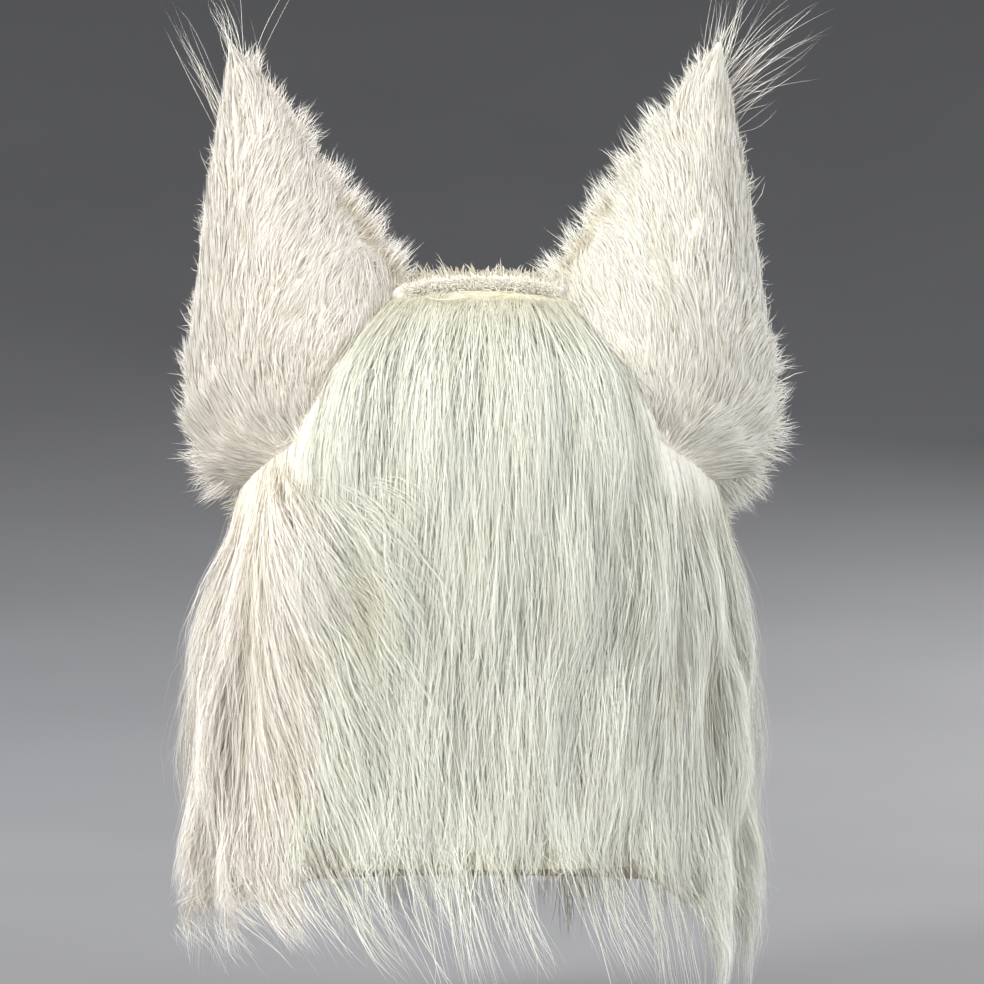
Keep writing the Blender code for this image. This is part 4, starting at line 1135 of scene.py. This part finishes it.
def crown_edge_pile(count, rng):
    """Fine fuzz on the face fur's cut rear edge, pointing back over the crown seam and up and down."""
    turn = rng.uniform(-CROWN_SEAM_EDGE, CROWN_SEAM_EDGE, count)
    fall = slope_fall(turn, CROWN_SEAM_FRONT - 0.0006)
    root = head_point(turn, fall, rng.uniform(CROWN_SEAM_THICKNESS, FACE_PILE, count))
    out = head_out(turn, fall)
    way = unit(np.array([0, 0.55, 0.75]) + rng.normal(0, 0.40, root.shape))
    out = unit(np.array([0, 1.0, 0]) + 0.3 * out)
    length = rng.uniform(0.003, 0.008, count)
    paths = free_strands(root, way, out, length, 0 * length, length * 0.2, SHORT_POINTS)
    # the fuzz's tone starts high: painted light, which keeps the fuzz bright where it stands in shade at the
    # crown's edge
    tone = np.clip(0.8 + rng.normal(0, 0.18, count), 0, 1)
    return paths, out, tone


def muzzle_pile(count, rng):
    """Very short pile on the muzzle, combed back from the nose."""
    share = rng.uniform(0.0, 0.96, count)
    angle = rng.uniform(-np.pi, np.pi, count)
    root = muzzle_point(share, angle, MUZZLE_PILE * 0.7)
    out = muzzle_out(share, angle)
    from_middle = root - np.array([0, 0, MUZZLE_TOP - MUZZLE_HEIGHT / 2])
    out = out * np.sign((out * from_middle)[..., [0, 2]].sum(-1, keepdims=True))
    combed = np.array([0, 1.0, -0.12])
    way = unit(combed - out * (combed * out).sum(-1, keepdims=True)) + rng.normal(0, 0.14, root.shape)
    length = MUZZLE_STRAND * rng.uniform(0.8, 1.15, count) * (0.75 + 0.45 * (1 - share))
    rise = length * rng.uniform(0.20, 0.45, count)
    paths = free_strands(root, unit(way), out, length, rise, length * 0.05, SHORT_POINTS)
    nose = np.array([0, -HOOD_FRONT - MUZZLE_LENGTH + NOSE_SINK, MUZZLE_TOP - NOSE_DROP])
    clear = (((paths[:, 0] - nose) / (np.array(NOSE_SIZE) / 2 + 0.001)) ** 2).sum(-1) > 1
    tone = np.clip(0.6 + rng.normal(0, 0.18, count), 0, 1)
    return paths[clear], out[clear], tone[clear]


def copy_node(node, name, material, voxel):
    """A node's solid as a softly rounded piece: merged, remeshed to even cells and smoothed."""
    source = next(o for o in bpy.data.objects if o.get("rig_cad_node") == node or o.name == node)
    mesh = source.data.copy()
    mesh.name = name
    editor = bmesh.new()
    editor.from_mesh(mesh)
    bmesh.ops.remove_doubles(editor, verts=editor.verts, dist=0.00002)
    editor.to_mesh(mesh)
    editor.free()
    copy = bpy.data.objects.new(name, mesh)
    bpy.context.scene.collection.objects.link(copy)
    remesh = copy.modifiers.new("Even cells", "REMESH")
    remesh.mode = "VOXEL"
    remesh.voxel_size = voxel
    smooth = copy.modifiers.new("Soft edges", "SMOOTH")
    smooth.factor = 0.5
    smooth.iterations = 4
    finished = bpy.data.meshes.new_from_object(copy.evaluated_get(bpy.context.evaluated_depsgraph_get()))
    finished.name = name
    copy.modifiers.clear()
    copy.data = finished
    finished.materials.clear()
    finished.materials.append(material)
    finished.shade_smooth()
    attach(copy, "root")
    return copy


def make_face_fur(fur, under):
    """The short fur of face and muzzle: its skin as the CAD has it, and three sets of strands."""
    rng = np.random.default_rng(97)
    skin = copy_node("face_fur", "face_fur_underlayer", under, 0.0040)
    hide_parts("face_fur")
    bundles = []
    for (paths, out, tone), low, high in (
        (face_pile(FACE_STRANDS, rng), 0.00045, 0.00080),
        (muzzle_pile(MUZZLE_STRANDS, rng), 0.00045, 0.00075),
        (crown_edge_pile(CROWN_EDGE_STRANDS, rng), 0.00025, 0.00040),
    ):
        count = len(paths)
        out = np.broadcast_to(out[:, None], paths.shape)
        bundles.append(ribbons(paths, out, rng.uniform(low, high, count), rng.normal(0, 0.3, count), tone))
    put_strands("face_fur_pile", bundles, fur)


# The crown seam


def slope_fall(turn, y):
    """How far below the crown the dome's rear slope reaches a given y."""
    dome = y / (HOOD_BACK * np.cos(turn) ** (2 / SECTION_POWER))
    return HOOD_HEIGHT * CROWN_SHARE * (1 - (1 - dome**CROWN_POWER) ** (1 / CROWN_POWER))


def make_crown_seam(backing, glue, thread):
    """The bare backing at the crown, with a bead of glue along it and three stray threads."""
    across = np.linspace(-CROWN_SEAM_EDGE, CROWN_SEAM_EDGE, 96)
    start = slope_fall(across, CROWN_SEAM_FRONT + SEAT_GAP)
    share = np.linspace(0, 1, 12)[:, None]
    fall = start + (CROWN_SEAM_FALL - start) * share
    turn = np.broadcast_to(across, fall.shape)
    pucker = 0.0004 * np.sin(70 * turn) * np.sin(np.pi * share) + 0.0003 * np.sin(31 * turn + 4 * share)
    outer = head_point(turn, fall, CROWN_SEAM_THICKNESS + pucker)
    inner = head_point(turn, fall, SEAT_GAP)
    band = put_mesh("crown_seam_band", *slab(outer, inner), backing)
    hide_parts("crown_seam")
    middle = np.linspace(-0.50, 0.16, 60)
    line = slope_fall(middle, CROWN_SEAM_FRONT) + 0.0040 + 0.0007 * np.sin(9 * middle)
    bead = 0.0007 + 0.0003 * np.sin(23 * middle) + 0.0002 * np.sin(61 * middle)
    bead = bead * np.sqrt(np.sin(np.linspace(0.03, np.pi - 0.03, 60)))
    put_mesh("crown_seam_glue", *tube(head_point(middle, line, CROWN_SEAM_THICKNESS), bead), glue)
    threads = []
    for first, last, low, bow in CROWN_THREADS:
        along = np.linspace(0, 1, 28)
        place = first + (last - first) * along
        drop = low + 0.0045 * np.sin(np.pi * along)
        stand = COAT_DEPTH * 0.45 + bow * np.sin(np.pi * along)
        threads.append(tube(head_point(place, drop, stand), 0.00035, 6))
    put_mesh("crown_seam_threads", *join_shapes(threads), thread)


# The nose pad


def make_nose(rubber):
    """The nose pad: a ball drawn out to the pad's size, broader on top, with two comma nostrils.

    Each nostril is a smooth bell pressed into the front, and a shallow groove runs down the middle.
    """
    levels, turns = np.linspace(0, np.pi, 61)[1:-1], np.linspace(0, 2 * np.pi, 96, endpoint=False)
    rise, round_way = np.meshgrid(levels, turns, indexing="ij")
    x, y, z = np.sin(rise) * np.cos(round_way), np.sin(rise) * np.sin(round_way), np.cos(rise)
    ball = stack(x, y, z)
    taper = 1 - NOSE_TAPER + NOSE_TAPER * z
    front = fade(y, -0.9, 0.1)
    nostril = np.exp(-(((np.abs(x) - 0.46 - 0.25 * np.abs(z)) / 0.17) ** 2) - ((z + 0.08) / 0.26) ** 2)
    groove = np.exp(-((x / 0.06) ** 2)) * fade(z, -0.2, 0.3)
    sink = 1 - front * (0.26 * nostril + 0.07 * groove)
    size = np.array(NOSE_SIZE) / 2
    centre = np.array([0, -HOOD_FRONT - MUZZLE_LENGTH + NOSE_SINK, MUZZLE_TOP - NOSE_DROP])
    shape = ball * sink[..., None] * stack(taper, 1.0, 1.0) * size
    rows, columns, _ = shape.shape
    index = np.arange(rows * columns).reshape(rows, columns)
    after = np.roll(index, -1, axis=1)
    a, b, c, d = index[:-1], after[:-1], after[1:], index[1:]
    poles = rows * columns
    faces = [np.stack([a, c, b], -1).reshape(-1, 3), np.stack([a, d, c], -1).reshape(-1, 3)]
    faces.append(np.stack([np.full(columns, poles), index[0], after[0]], -1))
    faces.append(np.stack([np.full(columns, poles + 1), after[-1], index[-1]], -1))
    ends = np.array([[0, 0, size[2]], [0, 0, -size[2]]])
    points = np.concatenate([shape.reshape(-1, 3), ends]) + centre
    nose = put_mesh("nose_pad", points, np.concatenate(faces), rubber)
    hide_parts("nose")


# Materials


def linear(hex_colour):
    """An sRGB hex colour as Blender's linear values."""
    parts = [int(hex_colour[k : k + 2], 16) / 255 for k in (0, 2, 4)]
    return (*[p / 12.92 if p <= 0.04045 else ((p + 0.055) / 1.055) ** 2.4 for p in parts], 1.0)


def add_node(tree, kind, inputs=None, **settings):
    """A node with its settings. An input's value is a constant, or another node's socket to link."""
    node = tree.nodes.new(kind)
    for name, value in settings.items():
        setattr(node, name, value)
    for name, value in (inputs or {}).items():
        if isinstance(value, bpy.types.NodeSocket):
            tree.links.new(value, node.inputs[name])
        else:
            node.inputs[name].default_value = value
    return node


def start_material(name):
    """(material, its tree, its Principled shader)."""
    material = bpy.data.materials.new(name)
    material.use_nodes = True
    return material, material.node_tree, material.node_tree.nodes["Principled BSDF"]


def colour_steps(ramp, steps):
    """Puts (place, hex colour) steps on a colour ramp."""
    elements = ramp.color_ramp.elements
    while len(elements) < len(steps):
        elements.new(0.5)
    for element, (place, colour) in zip(elements, steps):
        element.position = place
        element.color = linear(colour)


def pile_material(name, root, middle, tip):
    """Modacrylic pile, drawn in fine smooth fibres: dull and soft, cream at the root and whiter out.

    The darker cream at the root is partly the fibre's own colour and partly painted shade deep in the pile.
    The colour runs along the strand, is multiplied by its tone, and is multiplied towards beige by a
    painted shadow where the pile parts or meets an ear's seam. A real fibre is about 0.05 mm thick, which
    is too fine to show, so a strand is 0.1 to 0.8 mm wide.
    """
    material, tree, shader = start_material(name)
    strand = add_node(tree, "ShaderNodeVertexColor", layer_name="strand")
    parts = add_node(tree, "ShaderNodeSeparateColor", {"Color": strand.outputs["Color"]})
    ramp = add_node(tree, "ShaderNodeValToRGB", {"Fac": parts.outputs["Red"]})
    # the root end of the ramp is darker: partly the fibre's cream, partly painted shade deep in the pile
    colour_steps(ramp, [(0.0, root), (0.40, middle), (1.0, tip)])
    tones = add_node(tree, "ShaderNodeValToRGB", {"Fac": parts.outputs["Green"]})
    colour_steps(tones, [(0.0, "dddace"), (0.40, "efeee8"), (0.70, "faf9f6"), (1.0, "ffffff")])
    toned = add_node(tree, "ShaderNodeMix", data_type="RGBA", blend_type="MULTIPLY")
    toned.inputs["Factor"].default_value = 1.0
    tree.links.new(ramp.outputs["Color"], toned.inputs[6])
    tree.links.new(tones.outputs["Color"], toned.inputs[7])
    # painted shadow: the strand's shadow share multiplies the colour towards beige
    shaded = add_node(tree, "ShaderNodeMix", data_type="RGBA", blend_type="MULTIPLY")
    tree.links.new(parts.outputs["Blue"], shaded.inputs["Factor"])
    tree.links.new(toned.outputs[2], shaded.inputs[6])
    shaded.inputs[7].default_value = linear("e0d9c4")
    tree.links.new(shaded.outputs[2], shader.inputs["Base Color"])
    shader.inputs["Roughness"].default_value = 0.60
    shader.inputs["Specular IOR Level"].default_value = 0.10
    return material


def underfur_material(name, dark, light, stretch):
    """Dense under-fur on a knitted backing: matt, in drawn-out streaks with shade between them.

    The streaks are about 1 mm wide, coarser than the fibre, so that they show.
    """
    material, tree, shader = start_material(name)
    place = add_node(tree, "ShaderNodeTexCoord")
    mapping = add_node(tree, "ShaderNodeMapping", {"Vector": place.outputs["Object"], "Scale": stretch})
    noise = add_node(
        tree, "ShaderNodeTexNoise", {"Vector": mapping.outputs["Vector"], "Scale": 1.0, "Detail": 2.0}
    )
    ramp = add_node(tree, "ShaderNodeValToRGB", {"Fac": noise.outputs["Fac"]})
    colour_steps(ramp, [(0.32, dark), (0.50, light), (0.70, light)])
    tree.links.new(ramp.outputs["Color"], shader.inputs["Base Color"])
    shader.inputs["Roughness"].default_value = 0.85
    shader.inputs["Specular IOR Level"].default_value = 0.0
    return material


def backing_material():
    """Woven polyester backing with dried glue in it: a 0.9 mm plain weave, dull and cream."""
    material, tree, shader = start_material("woven cream backing")
    place = add_node(tree, "ShaderNodeTexCoord")
    spacing = {"Vector": place.outputs["Object"], "Scale": 350.0, "Distortion": 1.5}
    weave = add_node(tree, "ShaderNodeTexWave", spacing)
    weft = add_node(tree, "ShaderNodeTexWave", spacing, bands_direction="Y")
    crossing = {0: weave.outputs["Fac"], 1: weft.outputs["Fac"]}
    both = add_node(tree, "ShaderNodeMath", crossing, operation="MULTIPLY")
    ramp = add_node(tree, "ShaderNodeValToRGB", {"Fac": both.outputs["Value"]})
    colour_steps(ramp, [(0.0, "d0cdbc"), (1.0, "e5e2d6")])
    tree.links.new(ramp.outputs["Color"], shader.inputs["Base Color"])
    relief = {"Height": both.outputs["Value"], "Strength": 0.6, "Distance": 0.0003}
    bump = add_node(tree, "ShaderNodeBump", relief)
    tree.links.new(bump.outputs["Normal"], shader.inputs["Normal"])
    shader.inputs["Roughness"].default_value = 0.8
    return material


def glue_material():
    """Dried hot-melt glue: amber cream, half glossy, uneven."""
    material, tree, shader = start_material("dried hot-melt glue")
    place = add_node(tree, "ShaderNodeTexCoord")
    lumps = {"Vector": place.outputs["Object"], "Scale": 400.0, "Detail": 3.0}
    noise = add_node(tree, "ShaderNodeTexNoise", lumps)
    ramp = add_node(tree, "ShaderNodeValToRGB", {"Fac": noise.outputs["Fac"]})
    colour_steps(ramp, [(0.3, "cdbb7c"), (0.7, "e8dcae")])
    tree.links.new(ramp.outputs["Color"], shader.inputs["Base Color"])
    relief = {"Height": noise.outputs["Fac"], "Strength": 0.5, "Distance": 0.0005}
    bump = add_node(tree, "ShaderNodeBump", relief)
    tree.links.new(bump.outputs["Normal"], shader.inputs["Normal"])
    shader.inputs["Roughness"].default_value = 0.35
    return material


def thread_material():
    """Twisted polyester sewing thread: cream, with its twist as fine slanting bands."""
    material, tree, shader = start_material("twisted sewing thread")
    place = add_node(tree, "ShaderNodeTexCoord")
    turns = {"Vector": place.outputs["Object"], "Scale": 700.0}
    twist = add_node(tree, "ShaderNodeTexWave", turns, bands_direction="DIAGONAL")
    ramp = add_node(tree, "ShaderNodeValToRGB", {"Fac": twist.outputs["Fac"]})
    colour_steps(ramp, [(0.0, "d3c89a"), (1.0, "efe7c6")])
    tree.links.new(ramp.outputs["Color"], shader.inputs["Base Color"])
    shader.inputs["Roughness"].default_value = 0.6
    return material


def foam_material():
    """Cut upholstery foam: matt cream, with open cells about 0.8 mm across."""
    material, tree, shader = start_material("cut upholstery foam")
    place = add_node(tree, "ShaderNodeTexCoord")
    pores = add_node(tree, "ShaderNodeTexVoronoi", {"Vector": place.outputs["Object"], "Scale": 1200.0})
    spread = {"Vector": place.outputs["Object"], "Scale": 30.0, "Detail": 3.0}
    patches = add_node(tree, "ShaderNodeTexNoise", spread)
    ramp = add_node(tree, "ShaderNodeValToRGB", {"Fac": patches.outputs["Fac"]})
    colour_steps(ramp, [(0.3, "cfc3a0"), (0.7, "e2d9bd")])
    tree.links.new(ramp.outputs["Color"], shader.inputs["Base Color"])
    relief = {"Height": pores.outputs["Distance"], "Strength": 0.5, "Distance": 0.0005}
    bump = add_node(tree, "ShaderNodeBump", relief)
    tree.links.new(bump.outputs["Normal"], shader.inputs["Normal"])
    shader.inputs["Roughness"].default_value = 0.95
    return material


def screen_material():
    """Black buckram eye mesh: a stiff net with 1.3 mm holes, drawn as dark dots on a near-black net."""
    material, tree, shader = start_material("black eye mesh")
    place = add_node(tree, "ShaderNodeTexCoord")
    net = {"Vector": place.outputs["Object"], "Scale": 750.0, "Randomness": 0.0}
    holes = add_node(tree, "ShaderNodeTexVoronoi", net)
    ramp = add_node(tree, "ShaderNodeValToRGB", {"Fac": holes.outputs["Distance"]})
    colour_steps(ramp, [(0.30, "050506"), (0.45, "2b2b2e")])
    tree.links.new(ramp.outputs["Color"], shader.inputs["Base Color"])
    relief = {"Height": holes.outputs["Distance"], "Strength": 0.7, "Distance": 0.0005}
    bump = add_node(tree, "ShaderNodeBump", relief)
    tree.links.new(bump.outputs["Normal"], shader.inputs["Normal"])
    shader.inputs["Roughness"].default_value = 0.55
    return material


def nose_material():
    """Moulded silicone rubber: black, softly glossy, with pebbles about 1.2 mm across."""
    material, tree, shader = start_material("moulded black rubber")
    place = add_node(tree, "ShaderNodeTexCoord")
    grain = {"Vector": place.outputs["Object"], "Scale": 800.0}
    pebbles = add_node(tree, "ShaderNodeTexVoronoi", grain, feature="SMOOTH_F1")
    ramp = add_node(tree, "ShaderNodeValToRGB", {"Fac": pebbles.outputs["Distance"]})
    colour_steps(ramp, [(0.1, "1c1a1b"), (0.7, "0d0c0d")])
    tree.links.new(ramp.outputs["Color"], shader.inputs["Base Color"])
    relief = {"Height": pebbles.outputs["Distance"], "Strength": 0.5, "Distance": 0.0005}
    bump = add_node(tree, "ShaderNodeBump", relief)
    tree.links.new(bump.outputs["Normal"], shader.inputs["Normal"])
    shader.inputs["Roughness"].default_value = 0.38
    return material


def stage_material():
    """Matt painted studio floor and wall, pale grey."""
    material, tree, shader = start_material("matt studio paint")
    place = add_node(tree, "ShaderNodeTexCoord")
    clouds = {"Vector": place.outputs["Object"], "Scale": 3.0, "Detail": 2.0}
    noise = add_node(tree, "ShaderNodeTexNoise", clouds)
    ramp = add_node(tree, "ShaderNodeValToRGB", {"Fac": noise.outputs["Fac"]})
    colour_steps(ramp, [(0.3, "77787c"), (0.7, "7a7b7f")])
    tree.links.new(ramp.outputs["Color"], shader.inputs["Base Color"])
    shader.inputs["Roughness"].default_value = 0.9
    return material


# Camera, stage and lights


def make_stage(material):
    """A round studio floor that curves up into a wall, all round the mask.

    Its outline is a flat floor, a quarter circle and an upright, carried round the vertical axis.
    """
    floor, radius, bend, height = -0.402, 9.0, 7.4, 9.0
    angle = np.linspace(-np.pi / 2, 0, 24)
    reach = np.concatenate([[0.001, 0.8], radius - bend + bend * np.cos(angle), [radius]])
    level = np.concatenate([[0, 0], bend + bend * np.sin(angle), [height]]) + floor
    turn = np.linspace(0, 2 * np.pi, 97)
    grid = stack(reach[:, None] * np.cos(turn), reach[:, None] * np.sin(turn), level[:, None] + 0 * turn)
    mesh_object = put_mesh("studio_floor", grid, grid_triangles(*grid.shape[:2]), material)
    mesh_object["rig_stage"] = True


def make_light(name, place, target, size, power, colour):
    """A round soft lamp that faces a target."""
    lamp = bpy.data.lights.new(name, "AREA")
    lamp.shape = "DISK"
    lamp.size = size
    lamp.energy = power
    lamp.color = colour
    holder = bpy.data.objects.new(name, lamp)
    bpy.context.scene.collection.objects.link(holder)
    holder.location = place
    holder.rotation_euler = (Vector(target) - Vector(place)).to_track_quat("-Z", "Y").to_euler()


def make_lights():
    """Plain soft studio light from all round, a little stronger at the back of the mask."""
    middle = (0, 0, -0.12)
    make_light("key", (2.2, 2.2, 1.1), middle, 1.4, 142, (1.0, 0.985, 0.95))
    make_light("fill", (-2.3, 2.0, 0.5), middle, 1.8, 84, (0.98, 0.99, 1.0))
    make_light("front_key", (-1.4, -2.6, 1.4), middle, 1.6, 85, (1.0, 0.985, 0.95))
    make_light("front_fill", (2.3, -2.0, 0.4), middle, 1.8, 55, (0.98, 0.99, 1.0))
    make_light("top", (0, 0.2, 3.2), middle, 2.2, 40, (1.0, 0.995, 0.98))
    world = bpy.data.worlds.new("studio")
    bpy.context.scene.world = world
    world.use_nodes = True
    background = world.node_tree.nodes["Background"]
    background.inputs["Color"].default_value = linear("f2f2f2")
    background.inputs["Strength"].default_value = 0.45


def make_camera():
    """A level view of the back of the mask through a long lens, framed as the photograph is."""
    lens = bpy.data.cameras.new("camera")
    lens.lens = lens.sensor_width * CAMERA_DISTANCE / (PHOTO_PIXELS * PIXEL)
    lens.clip_end = 100
    camera = bpy.data.objects.new("camera", lens)
    bpy.context.scene.collection.objects.link(camera)
    camera.location = (VIEW_CENTRE[0], CAMERA_DISTANCE, VIEW_CENTRE[2])
    camera.rotation_euler = (math.pi / 2, 0, math.pi)
    bpy.context.scene.camera = camera
    bpy.context.scene.view_settings.view_transform = "Standard"


def dress_nodes(materials):
    """Gives the CAD nodes that stay their materials."""
    for shown in bpy.data.objects:
        for node, material in materials.items():
            if shown.name == node and shown.type == "MESH":
                shown.data.materials.clear()
                shown.data.materials.append(material)


def main():
    make_camera()
    make_lights()
    make_stage(stage_material())
    down = (900.0, 900.0, 60.0)
    back_pile = pile_material("long modacrylic pile, greenish cream", "d4d3c1", "e4e6dd", "eef0ea")
    left_pile = pile_material("long modacrylic pile, warm white", "e0d8ca", "f5f0ea", "fcfaf8")
    right_pile = pile_material("long modacrylic pile, cream white", "dad7c8", "eeefe8", "f7f8f5")
    ear_pile_left = pile_material("short modacrylic pile, warm white", "d5cec4", "e4dfda", "eceae8")
    ear_pile_right = pile_material("short modacrylic pile, cream white", "d6d2c5", "e7e5df", "f0f0ed")
    face = pile_material("short modacrylic pile, white", "ece8de", "f4f1ea", "fbfaf7")
    long_under = underfur_material("dense long under-fur", "dad6c8", "edebe2", down)
    short_under = underfur_material("dense short under-fur", "ddd6c6", "efebe2", (500.0, 500.0, 220.0))
    make_back_fur(back_pile, long_under)
    make_side_fur("left", 1, left_pile, long_under)
    make_side_fur("right", -1, right_pile, long_under)
    make_throat_fur(face, long_under)
    for word, side in SIDES.items():
        make_ear_body(word, side, short_under)
        make_ear_fur(word, side, ear_pile_left if side > 0 else ear_pile_right)
        make_ear_tuft(word, side, face)
    make_face_fur(face, short_under)
    make_crown_seam(backing_material(), glue_material(), thread_material())
    make_nose(nose_material())
    foam, screen = foam_material(), screen_material()
    dress_nodes({"hood": foam, "muzzle": foam, "eye_screen_left": screen, "eye_screen_right": screen})
    boxes = {"cad": CAD_BOX, "visual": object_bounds()}
    {name: [list(corner) for corner in box] for name, box in boxes.items()}


main()
